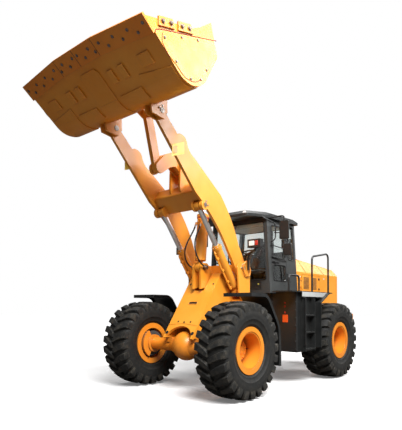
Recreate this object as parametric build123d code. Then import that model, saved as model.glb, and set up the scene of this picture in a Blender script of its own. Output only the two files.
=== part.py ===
"""Articulated wheel loader, full size, in millimetres.

Forward is -Y, the machine's left is +X and up is +Z.  Everything is laid out with y = 0 at the front
axle and z = 0 on the ground, and moved along Y once, on export, so that the origin lies on the ground
under the middle of the machine's length.
"""
from build123d import *
from math import atan2, cos, hypot, pi, radians, sin, tan
import os

os.makedirs("parts", exist_ok=True)

# ---------------------------------------------------------------- driving dimensions (mm, degrees)
# Wheels and axles
TYRE_RADIUS = 800.0
TYRE_WIDTH = 600.0
RIM_RADIUS = 318.0            # bead seat
FLANGE_RADIUS = RIM_RADIUS + 67
RIM_WIDTH = 500.0
FLANGE_THICK = 22.0
DISC_SET = -60.0              # disc's outer face, outboard of the wheel's middle plane
DISC_THICK = 32.0
DRUM_RADIUS = 187.0           # final drive's drum, in the middle of the dish
DRUM_FACE = 32.0
STUD_CIRCLE = 225.0
SPINDLE_BORE = 60.0
TRACK = 2300.0
WHEELBASE = 3350.0
AXLE_TUBE_RADIUS = 115.0
BANJO_RADIUS = 265.0
BRAKE_RADIUS = 240.0
CALIPER_RADIUS = 272.0

# Articulation
PIVOT_Y = 1675.0              # centre pivot, behind the front axle
PIVOT_UPPER_Z = 1420.0
PIVOT_LOWER_Z = 720.0
PIVOT_PIN_RADIUS = 55.0
LUG_THICK = 50.0
FORK_THICK = 40.0

# Front frame
WEDGE_HALF = 350.0            # half width over the side plates
WEDGE_TOP = (549.0, 2133.0)   # (y, z) of the sloping front plate's upper edge
WEDGE_FOOT = (-261.0, 950.3)
FRAME_PLATE = 40.0
ARCH_RADIUS = 334.0           # arch in the sloping plate, over the differential
ARCH_DROP = 84.0              # its centre, below the plate's foot
NOTCH_FOOT = 1033.0           # opening for the tilt cylinder's lugs, up the slope
TOWER_PLATE = 32.0

# Lift cylinders, beside the wedge, with the boom arms outside them and the tower's plates round the arms
LIFT_BASE = (890.0, 1790.0)
LIFT_BARREL_RADIUS = 80.0
LIFT_X = WEDGE_HALF + LIFT_BARREL_RADIUS + 10
LIFT_EYE_HALF = 50.0
LIFT_BARREL_LENGTH = 1000.0
LIFT_ROD_RADIUS = 48.0
ARM_IN = LIFT_X + LIFT_BARREL_RADIUS + 5    # inner face of each arm
ARM_THICK = 55.0
TOWER_IN = ARM_IN - 11 - TOWER_PLATE
TOWER_OUT = ARM_IN + ARM_THICK + 13 + TOWER_PLATE

# Boom
BOOM_PIVOT = (868.0, 2222.0)
BUCKET_PIN = (-1268.0, 4517.0)
BUCKET_PIN_RADIUS = 44.0
BOOM_PIN_RADIUS = 55.0
ROCKER_PIVOT = (-214.0, 3972.0)
ROCKER_PIN_RADIUS = 50.0
LIFT_EYE = (-200.0, 3245.0)

# Tilt linkage
ROCKER_FRONT = (-777.0, 3851.0)
ROCKER_REAR = (483.0, 3767.0)
LINK_TOP = (-1010.0, 4730.0)
TILT_BASE = (346.0, 2230.0)
TILT_PIN_RADIUS = 50.0
TILT_BARREL_RADIUS = 105.0
TILT_BARREL_LENGTH = 1010.0
TILT_ROD_RADIUS = 55.0
ROCKER_HALF = 92.0
ROCKER_CHEEK = 36.0
LINK_HALF = 38.0
LINK_PIN_RADIUS = 40.0
TILT_LUG_IN = 72.0
TILT_LUG_OUT = 112.0
HOSE_RADIUS = 14.0
SWIVEL_OUT = 178.0            # end of the hose swivel on the tilt cylinder's base pin

# Steering cylinders, plan positions (x, y)
STEER_BASE = (480.0, 2290.0)
STEER_EYE = (400.0, 1330.0)
STEER_Z = 1000.0
STEER_BARREL_RADIUS = 55.0
STEER_BARREL_LENGTH = 645.0
STEER_EYE_HALF = 56.0
STEER_PLATE = 28.0
STEER_ROD_RADIUS = 28.0

# Bucket, in its own side view: a = forward along the floor, b = up from the floor, from its pin
BUCKET_PITCH = 38.5           # floor angle at rest, tip up
BUCKET_WIDTH = 2940.0
FLOOR_B = -235.0
HEEL_RADIUS = 400.0
BACK_A = 80.0
SHEET = 26.0
SIDE_SHEET = 32.0
BLADE_THICK = 34.0
BLADE_DEPTH = 258.0
NOSE_HALF = 460.0
NOSE_SWEEP = 80.0
CUTTER_THICK = 25.0
EAR_SPAN = 50.0               # outer faces of a pair of hinge ears, beyond the arm

# Cab
CAB_FLOOR_Z = 1780.0
CAB_TOP_Z = 3265.0
CAB_FRONT_Y = 1560.0
CAB_REAR_Y = 2640.0
CAB_HALF = 770.0
CAB_LEAN = 85.0               # how far each side wall leans in at the top
CAB_WALL = 50.0
DOOR_FRONT_Y = 1660.0
DOOR_REAR_Y = 2240.0
DOOR_FOOT_Z = 1830.0
DOOR_HEAD_Z = 3205.0
DOOR_GAP = 6.0
POST = 70.0                   # frame left beside each pane
WINDOW_CORNER = 45.0
ROOF_EDGE = 50.0              # upright edge of the roof, under its sloping crown
ROOF_THICK = 118.0
ROOF_HALF = CAB_HALF - 15
ROOF_NOSE_Y = CAB_FRONT_Y - 500
GLASS = 8.0

# Hood and rear frame
HOOD_FRONT_Y = 2760.0
HOOD_REAR_Y = WHEELBASE + 1700
HOOD_HALF = 560.0
HOOD_CREASE_Z = 2300.0
HOOD_TOP_HALF = 400.0
HOOD_TOP_FRONT_Z = 2640.0
HOOD_TOP_REAR_Z = 2470.0
HOOD_ROUND = 55.0
HOOD_WALL = 30.0
HOOD_FOOT_Z = 1340.3
HOOD_DOOR_FRONT_Y = HOOD_FRONT_Y + 430
HOOD_DOOR_REAR_Y = HOOD_REAR_Y - 960
HOOD_DOOR_FOOT_Z = 1850.0
HOOD_DOOR_HEAD_Z = 2250.0
GRILLE_HALF = 430.0
GRILLE_FOOT_Z = 1480.0
GRILLE_HEAD_Z = 2290.0
RAIL_IN = 280.0
RAIL_OUT = 325.0
RAIL_REAR_Y = WHEELBASE + 1395
TAIL_Y = WHEELBASE + 1990
TAIL_HALF = 900.0
TAIL_FOOT_Z = 560.0
TAIL_TOP_Z = 1340.0
ENGINE_Z = 1240.0             # top of the cross members that carry the engine
HITCH_BORE = 26.0
LIFTING_BORE = 30.0
LIFTING_BORE_X = 800.0

# Decks, tanks, ladders and fenders
DECK_Z = 1812.0
DECK_OUT = 1350.0
OUTRIGGER_OUT = 700.0         # outer face of the brackets that carry cab and decks
TANK_OUT = DECK_OUT - 70
TANK_FRONT_Y = 1700.0
TANK_REAR_Y = 2430.0
TANK_FOOT_Z = 640.0
DECK_FRONT_Y = 1400.0
SKIRT_DEPTH = 122.0
SKIRT_THICK = 12.0
SKIRT_REAR_Y = 2835.0
RAIL_RADIUS = 19.0
DECK_REAR_Y = 3080.0
FENDER_IN = 860.0
FENDER_OUT = 1435.0
FENDER_Z = 1712.0
FENDER_THICK = 22.0
FENDER_LIP = 60.0

HINGE_RADIUS = 14.0
HINGE_STAND = 1.5             # knuckle clear of the wall it turns beside

SEAT_GAP = 0.3                # stand-off of seated pieces
PIN_GAP = 0.4                 # radial gap of a pin that turns
MOVE_GAP = 6.0                # side gap between pieces that move past each other

# ---------------------------------------------------------------- small helpers
def box(x0, x1, y0, y1, z0, z1):
    """A block between two corners."""
    return Pos((x0 + x1) / 2, (y0 + y1) / 2, (z0 + z1) / 2) * Box(x1 - x0, y1 - y0, z1 - z0)


def side_plate(points, x0, x1):
    """A plate with a straight-edged (y, z) outline, between two x positions."""
    face = make_face(Polyline(*points, close=True))
    return Pos(x0, 0, 0) * extrude(Plane.YZ * face, x1 - x0)


def side_face(face, x0, x1):
    """A plate from a face drawn in (y, z)."""
    return Pos(x0, 0, 0) * extrude(Plane.YZ * face, x1 - x0)


def plan_plate(points, z0, z1):
    """A plate with a straight-edged (x, y) outline, between two heights."""
    return Pos(0, 0, z0) * extrude(make_face(Polyline(*points, close=True)), z1 - z0)


def pin_x(yz, radius, x0, x1):
    """A round bar along X at (y, z)."""
    return Pos((x0 + x1) / 2, yz[0], yz[1]) * Rot(0, 90, 0) * Cylinder(radius, x1 - x0)


def bar(start, end, radius):
    """A round bar between two points."""
    a, b = Vector(*start), Vector(*end)
    run = b - a
    return Plane(origin=a, z_dir=run) * Cylinder(radius, run.length, align=(Align.CENTER, Align.CENTER, Align.MIN))


def strap(c1, r1, c2, r2):
    """The face round two circles, in (y, z)."""
    return make_hull((Pos(*c1) * Circle(r1)).edges() + (Pos(*c2) * Circle(r2)).edges())


def tube_path(points, bend, radius, hollow=0.0):
    """A tube along straight runs with rounded corners."""
    path = FilletPolyline(*points, radius=bend)
    start = Plane(origin=path @ 0, z_dir=path % 0)
    section = Circle(radius) - Circle(hollow) if hollow else Circle(radius)
    return sweep(start * section, path=path)


def both(solid):
    """A piece with its mirror image on the other side."""
    return solid + mirror(solid, about=Plane.YZ)


def unit(start, end):
    """Unit vector in (y, z) and length."""
    dy, dz = end[0] - start[0], end[1] - start[1]
    length = hypot(dy, dz)
    return (dy / length, dz / length), length


def along(start, end, distance):
    (uy, uz), _ = unit(start, end)
    return (start[0] + uy * distance, start[1] + uz * distance)


NODES = {}


def node(name, *solids):
    """Keeps one named sub-part."""
    flat = []
    for s in solids:
        flat += list(s.solids())
    NODES[name] = flat


# ---------------------------------------------------------------- wheels
def tyre():
    """Carcass with rounded shoulders, a flat crown and bead seats, open at the rim."""
    half, top, seat = TYRE_WIDTH / 2, TYRE_RADIUS, RIM_RADIUS + SEAT_GAP
    bead = RIM_WIDTH / 2 - 22 - SEAT_GAP
    heel = FLANGE_RADIUS + 4
    profile = make_face([
        Line((-bead, seat), (bead, seat)),
        Line((bead, seat), (bead, heel)),
        ThreePointArc((bead, heel), (half, (heel + top) / 2 - 30), (half - 18, top - 95)),
        ThreePointArc((half - 18, top - 95), (half - 44, top - 38), (half - 92, top - 14)),
        ThreePointArc((half - 92, top - 14), (0, top), (92 - half, top - 14)),
        ThreePointArc((92 - half, top - 14), (44 - half, top - 38), (18 - half, top - 95)),
        ThreePointArc((18 - half, top - 95), (-half, (heel + top) / 2 - 30), (-bead, heel)),
        Line((-bead, heel), (-bead, seat)),
    ])
    return revolve(Plane.XZ * profile, axis=Axis.X)


def rim():
    """Rim with a deep dish, bolted disc and the final drive's drum, outboard at +X."""
    half, seat = RIM_WIDTH / 2, RIM_RADIUS
    lip, bore_end = half - 12, DRUM_FACE - 22
    profile = make_face(Polyline(
        (half, FLANGE_RADIUS), (half - FLANGE_THICK, FLANGE_RADIUS), (half - FLANGE_THICK, seat),
        (FLANGE_THICK - half, seat), (FLANGE_THICK - half, FLANGE_RADIUS), (-half, FLANGE_RADIUS),
        (-half, seat - 28), (DISC_SET - DISC_THICK, seat - 28), (DISC_SET - DISC_THICK, SPINDLE_BORE),
        (bore_end, SPINDLE_BORE), (bore_end, 0), (DRUM_FACE + 20, 0), (DRUM_FACE + 20, 62), (DRUM_FACE + 8, 78),
        (DRUM_FACE, 78), (DRUM_FACE, DRUM_RADIUS - 22), (DRUM_FACE - 18, DRUM_RADIUS - 6), (DISC_SET, DRUM_RADIUS),
        (DISC_SET, seat - 56), (DISC_SET + 14, seat - 52), (lip - 20, seat - 34), (lip, seat - 34), (lip, seat - 10),
        (half, seat - 10), close=True))
    body = revolve(Plane.XZ * profile, axis=Axis.X)
    for loc in PolarLocations(STUD_CIRCLE, 16):
        body += Pos(DISC_SET + 6, 0, 0) * Rot(0, 90, 0) * loc * Cylinder(13, 40)
    return body


def wheel_pair(side, axle_y):
    """Tyre and rim placed at one corner of the machine; side is +1 for left."""
    turn = Rot(0, 0, 0) if side > 0 else Rot(0, 0, 180)
    place = Pos(side * TRACK / 2, axle_y, TYRE_RADIUS) * turn
    return place * tyre(), place * rim()


for corner, side, axle_y in (("front_left", 1, 0.0), ("front_right", -1, 0.0),
                             ("rear_left", 1, WHEELBASE), ("rear_right", -1, WHEELBASE)):
    tyre_solid, rim_solid = wheel_pair(side, axle_y)
    node("tyre_" + corner, tyre_solid)
    node("rim_" + corner, rim_solid)


# ---------------------------------------------------------------- axles
HUB_FACE = TRACK / 2 + DISC_SET - DISC_THICK         # inner face of the rim's disc
SPINDLE_RADIUS = SPINDLE_BORE - 2


def axle(pad_half, pinion_side, shaft_end):
    """Banjo housing with tubes, brake discs, hub ends and a pinion nose, at y = 0, z = 0."""
    neck = BANJO_RADIUS * 0.7
    bowl = make_face([
        Line((-330, 0), (-330, 125)), Line((-330, 125), (-neck, neck)),
        ThreePointArc((-neck, neck), (0, BANJO_RADIUS), (neck, neck)),
        Line((neck, neck), (330, 125)), Line((330, 125), (330, 0)), Line((330, 0), (-330, 0)),
    ])
    body = revolve(Plane.XZ * bowl, axis=Axis.X)
    body += pin_x((0, 0), AXLE_TUBE_RADIUS, -HUB_FACE + 140, HUB_FACE - 140)
    body += both(pin_x((0, 0), 165, HUB_FACE - 230, HUB_FACE - 170))
    body += both(pin_x((0, 0), BRAKE_RADIUS, HUB_FACE - 165, HUB_FACE - 149))
    body += both(pin_x((0, 0), 148, HUB_FACE - 172, HUB_FACE - 60))
    body += both(pin_x((0, 0), 120, HUB_FACE - 70, HUB_FACE - SEAT_GAP))
    body += both(pin_x((0, 0), SPINDLE_RADIUS, HUB_FACE - 60, HUB_FACE + 95))
    # Brake caliper round the disc's forward edge
    reach = 2 * CALIPER_RADIUS
    sector = side_plate([(0, 0), (-reach * cos(radians(62)), reach * sin(radians(62))), (-reach, 0),
                         (-reach * cos(radians(62)), -reach * sin(radians(62)))], HUB_FACE - 250, HUB_FACE - 100)
    caliper = pin_x((0, 0), CALIPER_RADIUS, HUB_FACE - 205, HUB_FACE - 128) - pin_x((0, 0), 152, 0, HUB_FACE)
    body += both(caliper & sector)
    body += both(box(pad_half - 75, pad_half + 75, -130, 130, 60, 150))
    body += bar((0, pinion_side * 180, 0), (0, pinion_side * 430, 20), 95)
    body += bar((0, pinion_side * 430, 20), (0, pinion_side * 470, 23), 120)
    shaft = bar((0, pinion_side * (470.5 + SEAT_GAP), 23), (0, pinion_side * 525, 27.4), 60)
    shaft += bar((0, pinion_side * 515, 26.6), (0, shaft_end[0], shaft_end[1]), 45)
    return body, shaft


PAD_X = 330.0
AXLE_PAD_Z = TYRE_RADIUS + 150
front_axle, front_shaft = axle(PAD_X, 1, (PIVOT_Y - 190, PIVOT_LOWER_Z + 330 - TYRE_RADIUS))
node("front_axle", Pos(0, 0, TYRE_RADIUS) * front_axle, Pos(0, 0, TYRE_RADIUS) * front_shaft)
rear_axle, rear_shaft = axle(PAD_X, -1, (-WHEELBASE + PIVOT_Y + 560, PIVOT_LOWER_Z + 330 - TYRE_RADIUS))
node("rear_axle", Pos(0, WHEELBASE, TYRE_RADIUS) * rear_axle, Pos(0, WHEELBASE, TYRE_RADIUS) * rear_shaft)


# ---------------------------------------------------------------- front frame
def front_frame():
    top_y, top_z = WEDGE_TOP
    foot_y, foot_z = WEDGE_FOOT
    outline = [(top_y, top_z), (foot_y, foot_z), (180, foot_z), (260, 800), (520, 690), (1180, 690), (1180, 1450),
               (1090, 1560), (1090, top_z - 60), (720, top_z + 20)]
    solid = side_plate(outline, WEDGE_HALF - FRAME_PLATE, WEDGE_HALF)
    solid -= pin_x((0, TYRE_RADIUS), BANJO_RADIUS + 12, 0, 200)
    # Boom tower: outer and inner plates with a rounded head round the boom pin
    tower_outline = make_face(Polyline((743, 1760), (690, 2230), (735, 2330), (1075, 2390), (1060, 1760),
                                       close=True))
    solid += side_face(tower_outline, TOWER_OUT - TOWER_PLATE, TOWER_OUT)
    inner = make_face(Polyline((800, 2060), (760, 2230), (800, 2330), (1075, 2380), (1065, 2060), close=True))
    solid += side_face(inner, TOWER_IN, TOWER_IN + TOWER_PLATE)
    solid += box(WEDGE_HALF - 5, TOWER_IN + 5, 1010, 1045, 2060, 2330)
    # Box shelf that carries the tower on the side plates, behind the lift cylinder
    solid += box(WEDGE_HALF, TOWER_OUT, 1040, 1078, 1600, 2330)
    solid += box(WEDGE_HALF, TOWER_OUT, 850, 1078, 1600, 1640)
    solid += pin_x(BOOM_PIVOT, BOOM_PIN_RADIUS, TOWER_IN - 10, TOWER_OUT + 12)
    solid += pin_x(LIFT_BASE, 45, WEDGE_HALF - 20, TOWER_OUT - 10)
    solid += side_plate([(850, 1600), (770, 1740), (770, 1850), (830, 1890), (990, 1890), (1078, 1600)],
                        TOWER_OUT - TOWER_PLATE, TOWER_OUT)
    # Steering rod bracket
    for z in (STEER_Z - STEER_EYE_HALF - 4 - STEER_PLATE, STEER_Z + STEER_EYE_HALF + 4):
        solid += box(200, STEER_EYE[0] + 55, STEER_EYE[1] - 55, STEER_EYE[1] + 55, z, z + STEER_PLATE)
    solid = both(solid)
    # Sloping front plate with the arch over the differential
    (uy, uz), length = unit(WEDGE_FOOT, WEDGE_TOP)
    plate = side_plate([(foot_y, foot_z), (top_y, top_z), (top_y + 45, top_z - 20), (foot_y + 45, foot_z - 20)],
                       -WEDGE_HALF, WEDGE_HALF)
    slope = Plane(origin=(0, foot_y, foot_z), x_dir=(1, 0, 0), z_dir=(0, -uz, uy))
    notch = make_face(Polyline((-TILT_LUG_OUT, NOTCH_FOOT), (TILT_LUG_OUT, NOTCH_FOOT),
                               (TILT_LUG_OUT + 37, length + 60), (-TILT_LUG_OUT - 37, length + 60), close=True))
    cuts = Pos(0, -ARCH_DROP) * Circle(ARCH_RADIUS) + Pos(-5, 750) * SlotOverall(210, 24) + notch
    cuts += Pos(310, 100) * Circle(22) + Pos(-310, 100) * Circle(22)
    solid += plate - extrude(slope * cuts, 90, both=True) - pin_x((0, TYRE_RADIUS), BANJO_RADIUS + 12, -200, 200)
    # Cross plates and floor that close the frame
    solid += box(-WEDGE_HALF, WEDGE_HALF, 1050, 1090, 760, 2330)
    solid += both(box(WEDGE_HALF - FRAME_PLATE, WEDGE_HALF, 950, 1090, 2000, 2330))
    solid += box(-WEDGE_HALF + 20, WEDGE_HALF - 20, 560, 1090, top_z - 190, top_z - 160)
    # Tilt cylinder lugs
    base_y, base_z = TILT_BASE
    lug_outline = [(base_y - 90, base_z + 20), (base_y - 100, base_z - 400), (base_y + 300, base_z - 300),
                   (base_y + 230, base_z - 60), (base_y + 80, base_z + 85), (base_y - 40, base_z + 85)]
    lug = side_plate(lug_outline, TILT_LUG_IN, TILT_LUG_OUT)
    solid += both(lug)
    solid -= pin_x(TILT_BASE, TILT_PIN_RADIUS + PIN_GAP, -200, 200)
    # Neck and hinge lugs
    neck = plan_plate([(-350, 1050), (350, 1050), (250, 1240), (220, 1440), (-220, 1440), (-250, 1240)], 690, 1450)
    hollow = plan_plate([(-310, 1095), (310, 1095), (212, 1240), (185, 1500), (-185, 1500), (-212, 1240)], 770, 1370)
    solid += neck - hollow
    solid -= bar((0, 900, 880), (0, 1300, 1010), 95)
    for z in (PIVOT_UPPER_Z, PIVOT_LOWER_Z):
        tongue = make_hull((Pos(0, PIVOT_Y) * Circle(115)).edges() + (Pos(0, 1300) * Rectangle(420, 60)).edges())
        solid += Pos(0, 0, z - LUG_THICK / 2) * extrude(tongue, LUG_THICK)
        solid -= Pos(0, PIVOT_Y, z) * Cylinder(PIVOT_PIN_RADIUS + PIN_GAP, 3 * LUG_THICK)
    return solid


node("front_frame", front_frame())
PIN_PROUD = 18.0              # how far a pin's ends stand out of its lugs
SWIVEL_RADIUS = TILT_PIN_RADIUS - 14
node("tilt_base_pin", pin_x(TILT_BASE, TILT_PIN_RADIUS, -TILT_LUG_OUT - PIN_PROUD, TILT_LUG_OUT + PIN_PROUD)
     + pin_x(TILT_BASE, SWIVEL_RADIUS, -SWIVEL_OUT, SWIVEL_OUT))


# ---------------------------------------------------------------- boom
def boom():
    py, pz = BUCKET_PIN
    ay, az = BOOM_PIVOT
    outline = make_face([
        Line((py - 40, pz - 84), (py - 40, pz - 150)),
        Line((py - 40, pz - 150), (-425, 3414)),
        ThreePointArc((-425, 3414), (0, 3078), (404, 2623)),
        Line((404, 2623), (ay - 130, az - 75)),
        Line((ay - 130, az - 75), (ay + 130, az + 75)),
        Line((ay + 130, az + 75), (776, 2650)),
        ThreePointArc((776, 2650), (530, 3120), (240, 3490)),
        Line((240, 3490), (-470, 3985)),
        ThreePointArc((-470, 3985), (-585, 4070), (-640, 4165)),
        ThreePointArc((-640, 4165), (-720, 4276), (-880, 4275)),
        Line((-880, 4275), (py + 70, pz + 60)),
        Line((py + 70, pz + 60), (py - 40, pz - 84)),
    ])
    arm = side_face(outline, ARM_IN, ARM_IN + ARM_THICK)
    arm += pin_x(BUCKET_PIN, 92, ARM_IN, ARM_IN + ARM_THICK)
    arm += pin_x(BOOM_PIVOT, 150, ARM_IN, ARM_IN + ARM_THICK)
    arm -= pin_x(BUCKET_PIN, BUCKET_PIN_RADIUS + PIN_GAP, ARM_IN - 50, ARM_IN + ARM_THICK + 50)
    arm -= pin_x(BOOM_PIVOT, BOOM_PIN_RADIUS + PIN_GAP, ARM_IN - 50, ARM_IN + ARM_THICK + 50)
    # Cheek inside each arm that holds the lift rod's eye
    ey, ez = LIFT_EYE
    cheek = side_face(strap(LIFT_EYE, 95, (ey + 190, ez + 160), 120), LIFT_X - LIFT_EYE_HALF - MOVE_GAP - 32,
                      LIFT_X - LIFT_EYE_HALF - MOVE_GAP)
    solid = both(arm + cheek)
    # Cross box between the arms
    cross = make_face(Polyline((-346, 3471), (-123, 3198), (70, 3360), (60, 3480), (-130, 3650), (-220, 3650),
                               close=True))
    cross = fillet(cross.vertices(), 38)
    relief = make_face(Polyline((-10, 3290), (-170, 3625), (-100, 3800), (200, 3700), (200, 3300), close=True))
    solid += side_face(cross, -ARM_IN, ARM_IN) - side_face(relief, -ROCKER_HALF - 20, ROCKER_HALF + 20)
    solid -= both(pin_x(LIFT_EYE, 100, LIFT_X - LIFT_EYE_HALF - MOVE_GAP, ARM_IN))
    solid += both(pin_x(LIFT_EYE, 48, ARM_IN - 12, ARM_IN + ARM_THICK + 22))
    solid += both(pin_x(LIFT_EYE, 88, ARM_IN, ARM_IN + ARM_THICK + 12))
    # Rocker lugs on the cross box
    lug = side_face(strap(ROCKER_PIVOT, 120, (-215, 3590), 130), ROCKER_HALF + MOVE_GAP, ROCKER_HALF + MOVE_GAP + 40)
    lug -= pin_x(ROCKER_PIVOT, ROCKER_PIN_RADIUS + PIN_GAP, 0, 300)
    solid += both(lug)
    return solid


node("boom", boom())
node("rocker_pin", pin_x(ROCKER_PIVOT, ROCKER_PIN_RADIUS, -ROCKER_HALF - 60, ROCKER_HALF + 60))


# ---------------------------------------------------------------- rocker and link
def rocker():
    """Two cheeks joined by a hub and a web, forked at both ends."""
    crown1, crown2 = (-600, 4010), (-400, 4085)
    face = strap(ROCKER_FRONT, 95, crown1, 115)
    face += strap(crown1, 115, crown2, 125)
    face += strap(crown2, 125, ROCKER_PIVOT, 140)
    face += strap(ROCKER_PIVOT, 140, ROCKER_REAR, 88)
    cheek = side_face(face, ROCKER_HALF - ROCKER_CHEEK, ROCKER_HALF)
    web = strap((-470, 4075), 60, crown2, 70) + strap(crown2, 70, ROCKER_PIVOT, 95)
    web += strap(ROCKER_PIVOT, 95, (20, 3935), 55)
    solid = both(cheek) + side_face(web, -ROCKER_HALF, ROCKER_HALF)
    solid -= pin_x(ROCKER_PIVOT, ROCKER_PIN_RADIUS + PIN_GAP, -200, 200)
    return solid


node("rocker", rocker())
link_solid = side_face(strap(ROCKER_FRONT, 78, LINK_TOP, 78), -LINK_HALF, LINK_HALF)
node("tilt_link", link_solid - pin_x(LINK_TOP, LINK_PIN_RADIUS + PIN_GAP, -100, 100))
node("link_pin", pin_x(LINK_TOP, LINK_PIN_RADIUS, -110, 110))


# ---------------------------------------------------------------- bucket
def bucket_place(solid):
    """From the bucket's own frame (y = -a, z = b, at its pin) to the machine."""
    return Pos(0, BUCKET_PIN[0], BUCKET_PIN[1]) * Rot(-BUCKET_PITCH, 0, 0) * solid


BACK_HEAD = (160.0, 690.0)
SPILL = (560.0, 950.0)
TIP_A = 1279.0
HALF_BUCKET = BUCKET_WIDTH / 2


def bucket():
    a0, floor, r = BACK_A, FLOOR_B, HEEL_RADIUS
    hy, hz = a0 + r, floor + r
    t = SHEET
    outer = make_face([
        Line((-1235, floor), (-hy, floor)),
        ThreePointArc((-hy, floor), (-hy + r * sin(radians(45)), hz - r * cos(radians(45))), (-a0, hz)),
        Line((-a0, hz), (-BACK_HEAD[0], BACK_HEAD[1])),
        Line((-BACK_HEAD[0], BACK_HEAD[1]), (-SPILL[0], SPILL[1])),
        Line((-SPILL[0], SPILL[1]), (-641, 643)), Line((-641, 643), (-706, 491)),
        Line((-706, 491), (-1190, -170)), Line((-1190, -170), (-1235, floor)),
    ])
    ri = r - t
    inner = make_face([
        Line((-1500, floor + t), (-hy, floor + t)),
        ThreePointArc((-hy, floor + t), (-hy + ri * sin(radians(45)), hz - ri * cos(radians(45))), (-a0 - t, hz)),
        Line((-a0 - t, hz), (-BACK_HEAD[0] - t, BACK_HEAD[1] - 14)),
        Line((-BACK_HEAD[0] - t, BACK_HEAD[1] - 14), (-SPILL[0] - 14, SPILL[1] - t)),
        Line((-SPILL[0] - 14, SPILL[1] - t), (-SPILL[0] - 120, SPILL[1] + 200)),
        Line((-SPILL[0] - 120, SPILL[1] + 200), (-1500, SPILL[1] + 200)),
        Line((-1500, SPILL[1] + 200), (-1500, floor + t)),
    ])
    body = side_face(outer, -HALF_BUCKET, HALF_BUCKET)
    body -= side_face(inner, -HALF_BUCKET + SIDE_SHEET, HALF_BUCKET - SIDE_SHEET)
    # Hinge ears, two to each arm
    ear = make_face(Polyline((110, -70), (95, 70), (40, 130), (-100, 300), (-230, 420), (-230, -100), (-100, -200),
                             (30, -120), close=True))
    ears = side_face(ear, ARM_IN - EAR_SPAN, ARM_IN - 15)
    ears += side_face(ear, ARM_IN + ARM_THICK + 15, ARM_IN + ARM_THICK + EAR_SPAN)
    cavity = side_face(inner, -HALF_BUCKET + SIDE_SHEET, HALF_BUCKET - SIDE_SHEET)
    ears -= cavity
    ears -= pin_x((0, 0), BUCKET_PIN_RADIUS + PIN_GAP, 0, 1000)
    body += both(ears)
    # Ears for the tilt link
    qy, qz = LINK_TOP[0] - BUCKET_PIN[0], LINK_TOP[1] - BUCKET_PIN[1]
    c, s = cos(radians(BUCKET_PITCH)), sin(radians(BUCKET_PITCH))
    local_q = (qy * c - qz * s, qy * s + qz * c)
    hook = side_face(strap(local_q, 80, (local_q[0] - 200, local_q[1] + 30), 150), LINK_HALF + 12, LINK_HALF + 50)
    hook -= cavity
    hook -= pin_x(local_q, LINK_PIN_RADIUS + PIN_GAP, 0, 200)
    body += both(hook)
    return body


node("bucket", bucket_place(bucket()))
nose_a = -TIP_A - NOSE_SWEEP
blade = Pos(0, 0, FLOOR_B - BLADE_THICK - SEAT_GAP) * extrude(make_face(Polyline(
    (-HALF_BUCKET, -TIP_A), (-NOSE_HALF, nose_a), (NOSE_HALF, nose_a), (HALF_BUCKET, -TIP_A),
    (HALF_BUCKET, -TIP_A + BLADE_DEPTH), (NOSE_HALF, nose_a + BLADE_DEPTH), (-NOSE_HALF, nose_a + BLADE_DEPTH),
    (-HALF_BUCKET, -TIP_A + BLADE_DEPTH), close=True)), BLADE_THICK)
lip = Pos(0, 0, FLOOR_B) * extrude(make_face(Polyline(
    (-HALF_BUCKET + 40, -1234), (-NOSE_HALF, -1310), (NOSE_HALF, -1310), (HALF_BUCKET - 40, -1234),
    close=True)), SHEET)


def side_cutter(start, end):
    """Bolt-on cutter along a side plate's sloping edge, between two distances from its upper corner."""
    (uy, uz), _ = unit((-706, 491), (-1190, -170))
    corners = [(start, -88), (start + 26, 30), (end - 26, 30), (end, -88)]
    points = [(-706 + uy * run + uz * out, 491 + uz * run - uy * out) for run, out in corners]
    return side_plate(points, HALF_BUCKET + SEAT_GAP, HALF_BUCKET + CUTTER_THICK)


cutters = []
for start, end in ((20, 330), (390, 700)):
    cutter = bucket_place(side_cutter(start, end))
    cutters += [cutter, mirror(cutter, about=Plane.YZ)]
node("cutting_edge", bucket_place(blade), *cutters)
NODES["bucket"] = list((Part() + NODES["bucket"] + bucket_place(lip)).solids())
ear_in, ear_out = ARM_IN - EAR_SPAN, ARM_IN + ARM_THICK + EAR_SPAN
node("bucket_pins", both(pin_x(BUCKET_PIN, BUCKET_PIN_RADIUS, ear_in - 10, ear_out + 10)))


# ---------------------------------------------------------------- cylinders
def cylinder(base, eye, x, barrel_r, barrel_len, rod_r, eye_half, eye_r, base_pin):
    """Barrel and rod between two (y, z) pins, at one x."""
    neck = along(base, eye, eye_r * 0.6)
    start = along(base, eye, eye_r + 55)
    gland = along(base, eye, barrel_len)
    barrel = bar((x, *start), (x, *gland), barrel_r)
    barrel += bar((x, *neck), (x, *start), eye_half)
    barrel += bar((x, *along(base, eye, barrel_len - 52)), (x, *gland), barrel_r + 12)
    barrel += bar((x, *gland), (x, *along(base, eye, barrel_len + 22)), rod_r + 16)
    # Oil ports on the forward side, joined by a hard pipe
    (uy, uz), _ = unit(base, eye)
    pipe = barrel_r + 20

    def beside(run, out):
        y, z = along(base, eye, run)
        return (x, y - uz * out, z + uy * out)

    for run in (eye_r + 90, barrel_len - 95):
        barrel += bar(beside(run, barrel_r - 12), beside(run, pipe + 12), 17)
    barrel += bar(beside(eye_r + 90, pipe), beside(barrel_len - 95, pipe), 9)
    barrel += pin_x(base, eye_r, x - eye_half, x + eye_half)
    barrel -= bar((x, *along(base, eye, eye_r + 95)), (x, *along(base, eye, barrel_len + 40)), rod_r + SEAT_GAP)
    barrel -= pin_x(base, base_pin + PIN_GAP, x - 200, x + 200)
    rod_end = along(base, eye, unit(base, eye)[1] - eye_r * 0.7)
    rod = bar((x, *along(base, eye, barrel_len - 260)), (x, *rod_end), rod_r)
    rod += pin_x(eye, eye_r, x - eye_half, x + eye_half)
    return barrel, rod


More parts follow.
